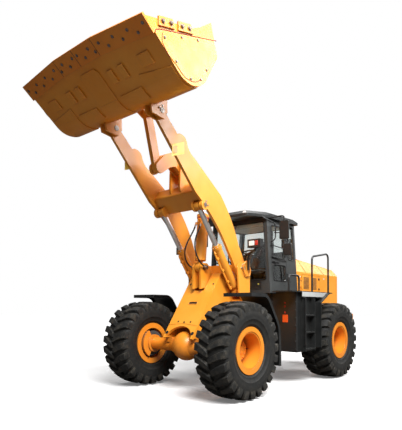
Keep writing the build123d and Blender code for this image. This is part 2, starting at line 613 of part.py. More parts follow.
lift_barrel, lift_rod = cylinder(LIFT_BASE, LIFT_EYE, LIFT_X, LIFT_BARREL_RADIUS, LIFT_BARREL_LENGTH,
                                 LIFT_ROD_RADIUS, LIFT_EYE_HALF, 78, 45)
node("lift_barrels", lift_barrel, mirror(lift_barrel, about=Plane.YZ))
node("lift_rods", lift_rod, mirror(lift_rod, about=Plane.YZ))
tilt_barrel, tilt_rod = cylinder(TILT_BASE, ROCKER_REAR, 0, TILT_BARREL_RADIUS, TILT_BARREL_LENGTH,
                                 TILT_ROD_RADIUS, 50, 82, TILT_PIN_RADIUS)


def tilt_hose():
    """Left hose of the tilt cylinder: it loops forward from the barrel down to the swivel on the base pin."""
    (uy, uz), _ = unit(TILT_BASE, ROCKER_REAR)

    def place(run, out, x):
        y, z = along(TILT_BASE, ROCKER_REAR, run)
        return (x, y - uz * out, z + uy * out)

    top, end = place(800, 128, 60), place(6, SWIVEL_RADIUS + SEAT_GAP, 162)
    route = [top, place(700, 165, 62), place(570, 232, 72), place(430, 292, 96), place(285, 310, 128),
             place(150, 262, 152), place(60, 172, 161), place(22, 98, 162), end]
    runs = [Vector(*b) - Vector(*a) for a, b in zip(route, route[1:])]
    radii = [0.45 * min(r1.length, r2.length) / tan(radians(r1.get_angle(r2)) / 2) for r1, r2 in zip(runs, runs[1:])]
    print("tilt hose radii", [round(r) for r in radii])
    path = FilletPolyline(*route, radius=radii)
    hose = sweep(Plane(origin=path @ 0, z_dir=path % 0) * Circle(HOSE_RADIUS), path=path)
    plain = pi * HOSE_RADIUS ** 2 * path.length
    print("tilt hose volume over its section times length", round(hose.volume / plain, 5))
    socket = bar(place(838, 88, 59), place(838, 124, 59), 21)
    socket += bar(place(846, 111, 59.1), place(800 + SEAT_GAP, 128 - 0.37 * SEAT_GAP, 60), 19)
    return hose, socket


left_hose, hose_socket = tilt_hose()
node("tilt_hoses", left_hose, mirror(left_hose, about=Plane.YZ))
node("tilt_barrel", tilt_barrel + both(hose_socket))
node("tilt_rod", tilt_rod)


def steer_cylinder():
    """Left steering cylinder, lying level between its two upright pins."""
    (bx, by), (ex, ey) = STEER_BASE, STEER_EYE
    base, eye = Vector(bx, by, STEER_Z), Vector(ex, ey, STEER_Z)
    way = (eye - base).normalized()
    barrel = bar(tuple(base + way * 90), tuple(base + way * STEER_BARREL_LENGTH), STEER_BARREL_RADIUS)
    barrel += bar(tuple(base + way * 35), tuple(base + way * 95), 33)
    barrel += Pos(bx, by, STEER_Z) * Cylinder(50, 2 * STEER_EYE_HALF)
    barrel -= Pos(bx, by, STEER_Z) * Cylinder(25 + PIN_GAP, 200)
    mouth = base + way * (STEER_BARREL_LENGTH + 10)
    barrel -= bar(tuple(base + way * 100), tuple(mouth), STEER_ROD_RADIUS + SEAT_GAP)
    rod = bar(tuple(base + way * 365), tuple(eye - way * 35), STEER_ROD_RADIUS)
    rod += Pos(ex, ey, STEER_Z) * Cylinder(48, 2 * STEER_EYE_HALF)
    return barrel, rod


steer_barrel, steer_rod = steer_cylinder()
node("steering_barrel_left", steer_barrel)
node("steering_barrel_right", mirror(steer_barrel, about=Plane.YZ))
node("steering_rod_left", steer_rod)
node("steering_rod_right", mirror(steer_rod, about=Plane.YZ))


# ---------------------------------------------------------------- rear frame
def rear_frame():
    step_y0, step_y1 = WHEELBASE - 420, WHEELBASE + 420
    outline = [(2000, 640), (2750, 700), (step_y0, 760), (step_y0 + 60, 1060), (step_y1 - 60, 1060), (step_y1, 760),
               (RAIL_REAR_Y, 760), (RAIL_REAR_Y, 1340), (2560, 1340), (2300, 1500), (2000, 1500)]
    solid = both(side_plate(outline, RAIL_IN, RAIL_OUT))
    solid += box(-RAIL_IN, RAIL_IN, 2000, 2045, 640, 830)
    solid += box(-RAIL_IN, RAIL_IN, 2000, 2045, 1280, 1500)
    for z in (PIVOT_UPPER_Z, PIVOT_LOWER_Z):
        for sign in (-1, 1):
            low = z + sign * (LUG_THICK / 2 + 12 + FORK_THICK / 2) - FORK_THICK / 2
            fork = make_hull((Pos(0, PIVOT_Y) * Circle(110)).edges() + (Pos(0, 2020) * Rectangle(600, 40)).edges())
            solid += Pos(0, 0, low) * extrude(fork, FORK_THICK)
        solid += Pos(0, PIVOT_Y, z) * Cylinder(PIVOT_PIN_RADIUS, LUG_THICK + 2 * (12 + FORK_THICK) + 20)
    # Cross members under the engine and at the tail
    for y in (2720, RAIL_REAR_Y - 445):
        solid += box(-RAIL_IN, RAIL_IN, y, y + 90, ENGINE_Z - 120, ENGINE_Z)
    # Steering barrel brackets
    for z in (STEER_Z - STEER_EYE_HALF - 6 - STEER_PLATE, STEER_Z + STEER_EYE_HALF + 6):
        solid += both(box(RAIL_OUT - 10, STEER_BASE[0] + 55, STEER_BASE[1] - 50, STEER_BASE[1] + 55,
                          z, z + STEER_PLATE))
    solid += both(Pos(STEER_BASE[0], STEER_BASE[1], STEER_Z) * Cylinder(25, 2 * (STEER_EYE_HALF + STEER_PLATE + 14)))
    # Cab posts and outriggers that carry the decks, tanks and fenders
    solid += both(box(RAIL_OUT, OUTRIGGER_OUT, 2150, 2230, 1330, 1500))
    solid += both(box(620, OUTRIGGER_OUT, 1700, 2600, 1500, CAB_FLOOR_Z - SEAT_GAP))
    solid += both(box(RAIL_OUT, OUTRIGGER_OUT, 2560, 2640, 1200, 1340))
    solid += both(box(620, OUTRIGGER_OUT, 2560, 2640, 1340, 1500))
    # Rear axle saddles
    for y in (WHEELBASE - 330, WHEELBASE + 330):
        solid += box(-RAIL_IN, RAIL_IN, y - 30, y + 30, 1070, 1130)
    solid += both(box(PAD_X - 30, PAD_X + 30, WHEELBASE - 100, WHEELBASE + 100, AXLE_PAD_Z + SEAT_GAP, 1065))
    return solid


node("rear_frame", rear_frame())
engine_y = WHEELBASE + 130
node("engine_block", box(-275, 275, engine_y, RAIL_REAR_Y - 105, ENGINE_Z + SEAT_GAP, ENGINE_Z + 820)
     + box(-200, 200, engine_y + 20, RAIL_REAR_Y - 455, ENGINE_Z - 100, ENGINE_Z + 10))
rail_seat = RAIL_REAR_Y + SEAT_GAP
tail = plan_plate([(-TAIL_HALF, rail_seat + 55), (-TAIL_HALF, TAIL_Y - 110), (-TAIL_HALF + 140, TAIL_Y),
                   (TAIL_HALF - 140, TAIL_Y), (TAIL_HALF, TAIL_Y - 110), (TAIL_HALF, rail_seat + 55),
                   (RAIL_OUT + 60, rail_seat), (-RAIL_OUT - 60, rail_seat)], TAIL_FOOT_Z, TAIL_TOP_Z)
# Hitch pocket with two lips that take the towing pin
tail -= box(-110, 110, TAIL_Y - 140, TAIL_Y + 10, TAIL_FOOT_Z + 240, TAIL_TOP_Z + 10)
for z in (TAIL_FOOT_Z + 300, TAIL_FOOT_Z + 420):
    hitch_lip = box(-111, 111, TAIL_Y - 141, TAIL_Y - 10, z, z + 40)
    tail += hitch_lip - Pos(0, TAIL_Y - 70, z) * Cylinder(HITCH_BORE, 200)
tail -= both(Pos(LIFTING_BORE_X, TAIL_Y - 210, TAIL_TOP_Z) * Cylinder(LIFTING_BORE, 2000))
node("counterweight", tail)


# ---------------------------------------------------------------- hood
def hood_shape(inset):
    """The engine cover's closed form, taken in by the wall's thickness."""
    def section(y, top_z):
        half, shoulder = HOOD_HALF - inset, HOOD_TOP_HALF - inset * 0.6
        foot = HOOD_FOOT_Z - (inset > 0) * 50
        pts = [(-half, foot), (half, foot), (half, HOOD_CREASE_Z - inset * 0.4), (shoulder, top_z - inset),
               (-shoulder, top_z - inset), (-half, HOOD_CREASE_Z - inset * 0.4)]
        face = make_face(Polyline(*pts, close=True))
        face = fillet(face.vertices().filter_by(lambda v: v.Y > foot + 1), HOOD_ROUND)
        return Plane(origin=(0, y, 0), x_dir=(1, 0, 0), z_dir=(0, -1, 0)) * face
    return loft([section(HOOD_FRONT_Y + inset, HOOD_TOP_FRONT_Z), section(HOOD_REAR_Y - inset, HOOD_TOP_REAR_Z)])


hood_wall = hood_shape(0) - hood_shape(HOOD_WALL)
door_zone = box(HOOD_HALF - 60, HOOD_HALF + 60, HOOD_DOOR_FRONT_Y, HOOD_DOOR_REAR_Y,
                HOOD_DOOR_FOOT_Z, HOOD_DOOR_HEAD_Z)
door_panel = box(HOOD_HALF - 60, HOOD_HALF + 60, HOOD_DOOR_FRONT_Y + DOOR_GAP, HOOD_DOOR_REAR_Y - DOOR_GAP,
                 HOOD_DOOR_FOOT_Z + DOOR_GAP, HOOD_DOOR_HEAD_Z - DOOR_GAP)
grille_zone = box(-GRILLE_HALF, GRILLE_HALF, HOOD_REAR_Y - 60, HOOD_REAR_Y + 60, GRILLE_FOOT_Z, GRILLE_HEAD_Z)
grille_piece = box(DOOR_GAP - GRILLE_HALF, GRILLE_HALF - DOOR_GAP, HOOD_REAR_Y - 60, HOOD_REAR_Y + 60,
                   GRILLE_FOOT_Z + DOOR_GAP, GRILLE_HEAD_Z - DOOR_GAP)
node("hood", hood_wall - both(door_zone) - grille_zone)
node("hood_door_left", hood_wall & door_panel)
node("hood_door_right", hood_wall & mirror(door_panel, about=Plane.YZ))
grille = hood_wall & grille_piece
for step in range(12):
    slot_z = GRILLE_FOOT_Z + 60 + 60 * step
    grille -= box(50 - GRILLE_HALF, GRILLE_HALF - 50, HOOD_REAR_Y - 100, HOOD_REAR_Y + 100, slot_z, slot_z + 30)
node("rear_grille", grille)


# ---------------------------------------------------------------- cab
def cab_shape(inset):
    """The cab's tapering form, taken in by an inset on every side."""
    def level(z, lean):
        half = CAB_HALF - lean - inset
        front, rear = CAB_FRONT_Y + inset, CAB_REAR_Y - inset
        outline = Polyline((-half, front), (half, front), (half, rear), (-half, rear), close=True)
        return Pos(0, 0, z) * make_face(outline)
    rise = CAB_TOP_Z - CAB_FLOOR_Z
    low, high = CAB_FLOOR_Z + inset, CAB_TOP_Z - inset
    leans = [CAB_LEAN * (z - CAB_FLOOR_Z) / rise for z in (low, high)]
    return loft([level(low, leans[0]), level(high, leans[1])])


def wall_half(z):
    """Half width over the cab's side walls at a height."""
    return CAB_HALF - CAB_LEAN * (z - CAB_FLOOR_Z) / (CAB_TOP_Z - CAB_FLOOR_Z)


def end_window(y, low, high, grow):
    """Cutter for the windscreen or the rear window, as wide as the posts beside it leave."""
    foot, head = wall_half(low) - POST + grow, wall_half(high) - POST + grow
    face = make_face(Polyline((-foot, low - grow), (foot, low - grow), (head, high + grow), (-head, high + grow),
                              close=True))
    face = fillet(face.vertices(), WINDOW_CORNER)
    return extrude(Plane(origin=(0, y, 0), x_dir=(1, 0, 0), z_dir=(0, -1, 0)) * face, 60, both=True)


def side_window(side, y0, y1, low, high, grow):
    """Cutter for a window in one side wall, with rounded corners."""
    x0, x1 = sorted((side * (CAB_HALF - 270), side * (CAB_HALF + 130)))
    cut = box(x0, x1, y0 - grow, y1 + grow, low - grow, high + grow)
    return fillet(cut.edges().filter_by(Axis.X), WINDOW_CORNER)


def windows(grow):
    """Cutters for the cab's four fixed windows, grown or shrunk all round."""
    rear_post, head = CAB_REAR_Y - POST - 10, CAB_TOP_Z - CAB_WALL - 12
    return (end_window(CAB_FRONT_Y, CAB_FLOOR_Z + 270, head, grow),
            end_window(CAB_REAR_Y, HOOD_TOP_FRONT_Z + 60, head, grow),
            side_window(1, DOOR_REAR_Y + POST, rear_post, CAB_FLOOR_Z + 710, head, grow),
            side_window(-1, DOOR_FRONT_Y + 20, rear_post, CAB_FLOOR_Z + 290, head, grow))


def door_windows(grow):
    """Cutters for the two panes in the door."""
    y0, y1 = DOOR_FRONT_Y + 50, DOOR_REAR_Y - 50
    return (side_window(1, y0, y1, DOOR_FOOT_Z + 655, DOOR_HEAD_Z - 58, grow),
            side_window(1, y0, y1, DOOR_FOOT_Z + 205, DOOR_FOOT_Z + 525, grow))


cab_wall = cab_shape(0) - cab_shape(CAB_WALL)
opening = box(CAB_HALF - 270, CAB_HALF + 130, DOOR_FRONT_Y, DOOR_REAR_Y, DOOR_FOOT_Z, DOOR_HEAD_Z)
leaf = box(CAB_HALF - 270, CAB_HALF + 130, DOOR_FRONT_Y + DOOR_GAP, DOOR_REAR_Y - DOOR_GAP,
           DOOR_FOOT_Z + DOOR_GAP, DOOR_HEAD_Z - DOOR_GAP)
cab = cab_wall - opening
glass_shell = cab_shape(CAB_WALL / 2 - GLASS / 2) - cab_shape(CAB_WALL / 2 + GLASS / 2)
panes = []
for zone, fit in zip(windows(0), windows(-SEAT_GAP)):
    cab -= zone
    panes.append(glass_shell & fit)
node("cab_frame", cab)
node("cab_glass", *panes)
door = cab_wall & leaf
door_panes = []
for zone, fit in zip(door_windows(0), door_windows(-SEAT_GAP)):
    door -= zone
    door_panes.append(glass_shell & fit)
node("cab_door", door)
node("cab_door_glass", *door_panes)
def roof_level(z, inset):
    """The roof's outline at a height, with a narrower nose over the windscreen and rounded corners."""
    nose, half = ROOF_HALF - 195 - inset, ROOF_HALF - inset
    front, rear = ROOF_NOSE_Y + inset, CAB_REAR_Y + 80 - inset
    outline = make_face(Polyline((-nose, front), (nose, front), (half, CAB_FRONT_Y), (half, rear), (-half, rear),
                                 (-half, CAB_FRONT_Y), close=True))
    return Pos(0, 0, z) * fillet(outline.vertices(), 60)


roof_z = CAB_TOP_Z + SEAT_GAP
roof = extrude(roof_level(roof_z, 0), ROOF_EDGE)
roof += loft([roof_level(roof_z + ROOF_EDGE, 0), roof_level(roof_z + ROOF_THICK, 75)], ruled=True)
node("cab_roof", roof)
seat = box(-250, 250, 2060, 2520, 2180, 2300) + box(-240, 240, 2440, 2540, 2300, 2850)
seat += Pos(0, 2280, 2005) * Cylinder(110, 2 * (2180 - 2005)) - box(-300, 300, 2000, 2600, 1700, 1830.3)
node("operator_seat", seat)
column = bar((0, 1752, 1845), (0, 1790, 2560), 55) + box(-170, 170, 1640, 1760, 1830.3, 2280)
wheel_ring = Pos(0, 1850, 2640) * Rot(25, 0, 0) * Torus(195, 16)
column += bar((0, 1785, 2500), (0, 1850, 2645), 30) + wheel_ring
column += Pos(0, 1850, 2640) * Rot(25, 0, 0) * Box(390, 34, 14)
node("steering_column", column)


# ---------------------------------------------------------------- decks, tanks, ladders, rails
def deck():
    """Left deck plate with its skirt."""
    solid = box(CAB_HALF + 30, DECK_OUT, TANK_FRONT_Y - 120, DECK_REAR_Y, DECK_Z - 20, DECK_Z)
    solid += box(CAB_HALF + 225, DECK_OUT, DECK_FRONT_Y, TANK_FRONT_Y, DECK_Z - 20, DECK_Z)
    step_z = DECK_Z - SKIRT_DEPTH + 40
    skirt_z = DECK_Z - SKIRT_DEPTH
    skirt = [(TANK_FRONT_Y + 70, DECK_Z), (SKIRT_REAR_Y, DECK_Z), (SKIRT_REAR_Y - 230, skirt_z),
             (TANK_REAR_Y - 60, skirt_z), (TANK_REAR_Y - 60, step_z), (TANK_FRONT_Y + 70, step_z)]
    solid += side_plate(skirt, DECK_OUT - SKIRT_THICK, DECK_OUT)
    return solid


left_deck = deck()
node("decks", left_deck, mirror(left_deck, about=Plane.YZ))
tank = box(OUTRIGGER_OUT + SEAT_GAP, TANK_OUT, TANK_FRONT_Y, TANK_REAR_Y, TANK_FOOT_Z, DECK_Z - 20 - SEAT_GAP)
tank = fillet(tank.edges().filter_by(Axis.Z), 25)
tank -= box(OUTRIGGER_OUT - 20, CAB_HALF + 40, TANK_FRONT_Y - 10, TANK_REAR_Y + 10, CAB_FLOOR_Z - 20, DECK_Z)
node("tanks", tank, mirror(tank, about=Plane.YZ))


def ladder():
    """Three treads between two flat stringers."""
    x0, x1 = TANK_OUT + SEAT_GAP, DECK_OUT + 30
    solid = None
    for y in (1860, 2230):
        rail = box(x0, x1, y, y + 18, 655, DECK_Z - SKIRT_DEPTH - 10)
        solid = rail if solid is None else solid + rail
    for z in (680, 1000, 1330):
        solid += box(x0, x1, 1860, 2248, z, z + 25)
    return solid


left_ladder = ladder()
node("ladders", left_ladder, mirror(left_ladder, about=Plane.YZ))
splash_y, under_deck = TANK_REAR_Y + SEAT_GAP, DECK_Z - 20 - SEAT_GAP
splash = side_plate([(splash_y, 700), (splash_y + 18, 700), (splash_y + 18, under_deck - 206),
                     (SKIRT_REAR_Y - 35, under_deck - 18), (SKIRT_REAR_Y + 15, under_deck - 18),
                     (SKIRT_REAR_Y + 15, under_deck), (SKIRT_REAR_Y - 40, under_deck), (splash_y, under_deck - 192)],
                    FENDER_IN, FENDER_OUT - 20)
splash -= box(DECK_OUT - SKIRT_THICK - SEAT_GAP, DECK_OUT + SEAT_GAP, TANK_REAR_Y - 10, SKIRT_REAR_Y + SEAT_GAP,
              DECK_Z - SKIRT_DEPTH - SEAT_GAP, DECK_Z)
rail_x, low_x = DECK_OUT - 60, DECK_OUT - 88
rails = tube_path([(rail_x, 2290, DECK_Z), (rail_x, 2290, DECK_Z + 708), (rail_x, 3010, DECK_Z + 828),
                   (rail_x, 3010, DECK_Z)], 90, RAIL_RADIUS)
small = tube_path([(low_x, 1430, DECK_Z), (low_x, 1430, DECK_Z + 298), (low_x, 1812, DECK_Z + 298),
                   (low_x, 1812, DECK_Z)], 70, RAIL_RADIUS)
node("handrails", rails, mirror(rails, about=Plane.YZ), small, mirror(small, about=Plane.YZ))
node("rear_fenders", splash, mirror(splash, about=Plane.YZ))


def fender_region(drop):
    """Side view under the fender's top, taken in by a depth, with its rounded back."""
    top, front = FENDER_Z + FENDER_THICK - drop, -30 - 60 * (drop > 0)
    foot = 480 - 60 * (drop > 0)
    back = FilletPolyline((front, top), (452 - drop * 0.35, top), (840 - drop * 0.9, 1178 - drop * 0.35),
                          (872 - drop, 760), (872 - drop, foot), radius=(260 - drop, 420 - drop, 200 - drop))
    return make_face([*back.edges(), Line((872 - drop, foot), (front, foot)), Line((front, foot), (front, top))])


def front_fender():
    """Flat top from over the axle, rounded down behind the wheel, with a turned lip along its outer edge."""
    lip_x = FENDER_OUT - 12
    solid = side_face(fender_region(0), FENDER_IN, FENDER_OUT)
    solid -= side_face(fender_region(FENDER_THICK), FENDER_IN - 10, lip_x)
    solid -= side_face(fender_region(FENDER_LIP), lip_x - 10, FENDER_OUT + 10)
    solid += box(FENDER_IN, FENDER_OUT, -30, -18, FENDER_Z - 38, FENDER_Z + 10)
    solid += box(WEDGE_HALF + SEAT_GAP, FENDER_IN + 150, 770, 846, 1180, 1260)
    return solid


left_fender = front_fender()
node("front_fenders", left_fender, mirror(left_fender, about=Plane.YZ))

# Headlamps on brackets from the tower
lamp_x = TOWER_OUT + 22 + SEAT_GAP
bracket = tube_path([(lamp_x, 1000, 2200), (lamp_x, 1000, 2500), (900, 860, 2560), (900, 860, 2610)], 45, 22)
lamp = box(770, 1050, 790, 900, 2590, 2740)
headlamp = lamp + bracket
node("headlamps", headlamp, mirror(headlamp, about=Plane.YZ))

# Mirrors on tube arms from the roof
mirror_x, mirror_y = ROOF_HALF + 275, CAB_FRONT_Y + 100
arm_z = CAB_TOP_Z + ROOF_EDGE / 2
arm_tube = tube_path([(ROOF_HALF + SEAT_GAP, mirror_y, arm_z), (mirror_x, mirror_y, arm_z),
                      (mirror_x, mirror_y, 3180)], 60, 15)
glass_box = box(mirror_x - 100, mirror_x + 100, mirror_y - 20, mirror_y + 20, 2830, 3190)
mirror_set = arm_tube + fillet(glass_box.edges().filter_by(Axis.Y), 30)
node("mirrors", mirror_set, mirror(mirror_set, about=Plane.YZ))

# Exhaust stack and air cleaner on the hood
stack = bar((-230, 3150, 2540), (-230, 3150, 3050), 75) + bar((-230, 3150, 3000), (-230, 3180, 3260), 48)
cleaner = bar((200, 3150, 2540), (200, 3150, 2900), 55) + bar((200, 3150, 2860), (200, 3150, 3060), 120)
node("stacks", stack - hood_shape(0), cleaner - hood_shape(0))

# ---------------------------------------------------------------- hinges of what opens
def door_hinges(carrier, leaf, foot, head, leaf_way, out):
    """Two knuckle hinges on an upright line; leaf_way points along the closed leaf, out to the side it swings."""
    r, stand = HINGE_RADIUS, HINGE_STAND
    start, run = Vector(*foot), Vector(*head) - Vector(*foot)
    low, high = sorted((-out * (r + stand + 1), -out * (r - 8)))
    web_low, web_high = sorted((-out * r, -out * (r - 8)))
    for share in (0.2, 0.8):
        plane = Plane(origin=start + run * share, x_dir=Vector(*leaf_way), z_dir=run)
        fixed = Pos(0, 0, -38) * Cylinder(r, 34) + Pos(0, 0, 38) * Cylinder(r, 34) + Cylinder(r / 2, 80)
        moving = Cylinder(r, 40) - Cylinder(r / 2 + PIN_GAP, 90)
        for z in (-38, 38):
            fixed += box(-55, 0, low, high, z - 17, z + 17)
        moving += box(DOOR_GAP + 1, 60, low, high, -20, 20)
        moving += box(r - 4, 30, web_low, web_high, -20, 20)
        NODES[leaf] = list((Part() + NODES[leaf] + plane * moving).solids())
        NODES[carrier] = list((Part() + NODES[carrier] + plane * fixed).solids())


CAB_TILT = atan2(CAB_LEAN, CAB_TOP_Z - CAB_FLOOR_Z)


def door_line(z):
    """Point of the cab door's hinge line at a height, outside the leaning wall."""
    return (wall_half(z) + (HINGE_RADIUS + HINGE_STAND) / cos(CAB_TILT), DOOR_REAR_Y, z)


door_hinges("cab_frame", "cab_door", door_line(DOOR_FOOT_Z), door_line(DOOR_HEAD_Z), (0, -1, 0), 1)
for leaf_name, side in (("hood_door_left", 1), ("hood_door_right", -1)):
    x = side * (HOOD_HALF + HINGE_RADIUS + HINGE_STAND)
    door_hinges("hood", leaf_name, (x, HOOD_DOOR_FRONT_Y, HOOD_DOOR_FOOT_Z),
                (x, HOOD_DOOR_FRONT_Y, HOOD_DOOR_HEAD_Z), (0, 1, 0), -side)
back_y = HOOD_REAR_Y + HINGE_RADIUS + HINGE_STAND
door_hinges("hood", "rear_grille", (-GRILLE_HALF, back_y, GRILLE_FOOT_Z), (-GRILLE_HALF, back_y, GRILLE_HEAD_Z),
            (1, 0, 0), 1)

# ---------------------------------------------------------------- export
front_end = min(s.bounding_box().min.Y for solids in NODES.values() for s in solids)
rear_end = max(s.bounding_box().max.Y for solids in NODES.values() for s in solids)
Y_SHIFT = -(front_end + rear_end) / 2
print("front", round(front_end, 1), "rear", round(rear_end, 1), "shift", round(Y_SHIFT, 2))
for name, solids in NODES.items():
    moved = [Pos(0, Y_SHIFT, 0) * s for s in solids]
    shape = moved[0] if len(moved) == 1 else Compound(children=moved)
    export_step(shape, f"parts/{name}.step")
    print(name, len(solids), round(sum(s.volume for s in solids) / 1e6, 1))
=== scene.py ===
# %% [markdown]
# # A wheel loader, dressed for the camera
# The machine was drawn in CAD first, as separate steel parts with real joints. Here it gets what CAD leaves out:
# tread on the tyres, bolts, weld beads, hoses, cushions, lamps, and above all paint, rubber, glass and dust.
# X points to the machine's left, Y to its rear and Z up. Lengths are in metres, except for places on the machine:
# those are written as on its drawing, in millimetres behind the front axle and above the ground.

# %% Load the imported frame
import math

import bpy
import bmesh
import numpy as np
from mathutils import Matrix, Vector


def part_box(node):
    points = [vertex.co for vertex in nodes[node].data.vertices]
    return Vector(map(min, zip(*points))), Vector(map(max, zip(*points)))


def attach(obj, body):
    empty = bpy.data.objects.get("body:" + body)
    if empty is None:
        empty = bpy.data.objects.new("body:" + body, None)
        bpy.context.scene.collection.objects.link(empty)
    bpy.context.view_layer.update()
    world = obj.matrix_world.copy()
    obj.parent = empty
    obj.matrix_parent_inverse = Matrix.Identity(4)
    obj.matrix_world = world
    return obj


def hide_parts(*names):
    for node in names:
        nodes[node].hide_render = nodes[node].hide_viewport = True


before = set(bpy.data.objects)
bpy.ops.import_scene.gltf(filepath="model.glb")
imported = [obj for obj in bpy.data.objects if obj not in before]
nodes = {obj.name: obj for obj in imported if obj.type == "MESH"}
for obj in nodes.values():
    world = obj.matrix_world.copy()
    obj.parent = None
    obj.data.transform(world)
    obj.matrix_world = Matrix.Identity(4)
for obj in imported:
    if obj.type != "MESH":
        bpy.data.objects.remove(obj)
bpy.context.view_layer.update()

# %% [markdown]
# ## Reference points
# A piece goes where the CAD says. The front axle's height and place along the machine come from the tyre's box, and
# most other points are counted from there, as a fitter would measure from the axle's centre.

# %% Reference points
tyre_low, tyre_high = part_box("tyre_front_left")
AXLE_Y = (tyre_low.y + tyre_high.y) / 2
AXLE_Z = (tyre_low.z + tyre_high.z) / 2
TYRE_R = (tyre_high.z - tyre_low.z) / 2
WHEEL_X = sum(c.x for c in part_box("tyre_front_left")) / 2
REAR_Y = sum(c.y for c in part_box("tyre_rear_left")) / 2
WAY_X, WAY_Y, WAY_Z = np.eye(3)
TWIN = np.array([-1.0, 1.0, 1.0])    # a point times this is its twin on the machine's other side
# The pins of the loader arm, as (y, z) in the drawing
HINGE_PIN, BOOM_PIN = (-1268, 4517), (868, 2222)
LIFT_BASE_PIN, LIFT_EYE_PIN, TILT_BASE_PIN, TILT_EYE_PIN = (890, 1790), (-200, 3245), (346, 2230), (483, 3767)


def at(x, y, z):
    """A point in the frame from x, the distance behind the front axle, and the height, all in millimetres."""
    return np.array([x / 1000, AXLE_Y + y / 1000, z / 1000])


def places(*points):
    """Several points given in machine millimetres, as rows in the frame's metres."""
    return np.array([at(*p) for p in points])


def side_places(x, pairs):
    """Points in one side plane of the machine, from their (y, z)."""
    return places(*((x, y, z) for y, z in pairs))


def square_to(way):
    """The way at right angles to another in the machine's side view: (y, z) becomes (-z, y)."""
    return np.array([0.0, -way[2], way[1]])


def cylinder(x, base, eye):
    """A hydraulic cylinder's base pin, and the way of length 1 from there to its eye."""
    way = at(x, *eye) - at(x, *base)
    return at(x, *base), way / np.linalg.norm(way)


def beside(line, run, out, x=0.0):
    """A point at a run along a cylinder from its base pin, out square to it in the side view, and x to the side."""
    base, way = line
    return base + run * way + out * square_to(way) + x * WAY_X


LIFT = cylinder(440, LIFT_BASE_PIN, LIFT_EYE_PIN)
TILT = cylinder(0, TILT_BASE_PIN, TILT_EYE_PIN)
print("front axle at y", round(AXLE_Y, 3), "and wheelbase", round(REAR_Y - AXLE_Y, 3))

# %% [markdown]
# ## The camera
# The view is from the front left, at a standing person's eye height, looking very slightly up. The lens is set from
# its focal length as a share of the picture's long side, and a vertical shift keeps the uprights upright, as the
# rising front of a studio camera does.

# %% Camera
LONG_SIDE, MIDDLE_ROW = 430.0, 215.0     # the picture's rows
FOCAL, CENTRE_ROW = 457.41, 290.73       # the lens, and the row where its axis meets the picture
SENSOR = 36.0                            # millimetres
EYE = at(5634.28, -6082.39, 1503.11)
yaw, pitch, roll = (math.radians(a) for a in (41.08, 2.0, 0.267))
camera_data = bpy.data.cameras.new("studio_camera")
camera_data.sensor_width = SENSOR
camera_data.lens = FOCAL / LONG_SIDE * SENSOR
camera_data.shift_y = (CENTRE_ROW - MIDDLE_ROW) / LONG_SIDE
camera_data.clip_end = 200.0
camera = bpy.data.objects.new("studio_camera", camera_data)
bpy.context.scene.collection.objects.link(camera)
forward = np.array([-math.sin(yaw) * math.cos(pitch), math.cos(yaw) * math.cos(pitch), math.sin(pitch)])
level_right = np.array([math.cos(yaw), math.sin(yaw), 0.0])
level_up = np.cross(level_right, forward)
right = level_right * math.cos(roll) + level_up * math.sin(roll)
up = level_up * math.cos(roll) - level_right * math.sin(roll)
camera.matrix_world = Matrix(np.vstack([np.column_stack([right, up, -forward, EYE]), [0, 0, 0, 1]]).tolist())
bpy.context.scene.camera = camera
print("lens", round(camera_data.lens, 2), "mm, shift", round(camera_data.shift_y, 3))

# %% [markdown]
# ## The two hoses of the tilt cylinder
# A hydraulic hose is stiff, so it keeps one long bend between its two fittings. Its route is a short list of points
# given along the cylinder: how far from its base pin, how far out in front, and how far to the side. A NURBS spline
# of order 3 through this frame of points gives a line whose curvature never jumps, which a chain of arcs can't.

# %% Hose routes
HOSE_ROUTE = [(0.800, 0.128, 0.060), (0.700, 0.165, 0.062), (0.570, 0.232, 0.072), (0.430, 0.292, 0.096),
              (0.285, 0.310, 0.128), (0.150, 0.262, 0.152), (0.060, 0.172, 0.161), (0.022, 0.098, 0.162),
              (0.006, 0.0363, 0.162)]
HOSE_DIAMETER = 0.028


def hose(name, side):
    """One hose: a bevelled curve whose spline has the route's points as its control points."""
    route = [beside(TILT, run, out, side * x) for run, out, x in HOSE_ROUTE]
    curve = bpy.data.curves.new(name, "CURVE")
    curve.dimensions = "3D"
    curve.bevel_depth = HOSE_DIAMETER / 2
    curve.bevel_resolution = 6
    curve.resolution_u = 12
    curve.use_fill_caps = True
    spline = curve.splines.new("NURBS")
    spline.points.add(len(route) - 1)
    spline.points.foreach_set("co", np.column_stack([route, np.ones(len(route))]).ravel())
    spline.order_u = 3
    spline.use_endpoint_u = True
    obj = bpy.data.objects.new(name, curve)
    bpy.context.scene.collection.objects.link(obj)
    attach(obj, "tilt_barrel")
    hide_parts("tilt_hoses")
    return obj


tilt_hoses = [hose("tilt_hose_left", 1), hose("tilt_hose_right", -1)]

# %% [markdown]
# ## Shapes from arrays
# A mesh is a list of points and a list of faces. Each helper below works out all its points at once from a formula,
# and gives back the pair (points, faces). Several pairs can be joined and made into one piece.


# %% Grids, joining and placing
def grid_faces(rows, cols, wrap_rows=False):
    """Quads of a grid numbered row by row: each joins (i, j), (i+1, j), (i+1, j+1) and (i, j+1). The columns close
    up round a ring, and with wrap_rows the rows do too."""
    i, j = np.meshgrid(np.arange(rows if wrap_rows else rows - 1), np.arange(cols), indexing="ij")
    i2, j2 = (i + 1) % rows, (j + 1) % cols
    return np.stack([i * cols + j, i2 * cols + j, i2 * cols + j2, i * cols + j2], -1).reshape(-1, 4).tolist()


def end_faces(count, sides):
    """The two end faces of a grid of count points whose rings have this many sides."""
    return [list(range(sides))[::-1], list(range(count - sides, count))]


def repeated(faces, jump, times):
    """The same faces for several copies, each of which has jump points."""
    return [[k + n * jump for k in f] for n in range(times) for f in faces]


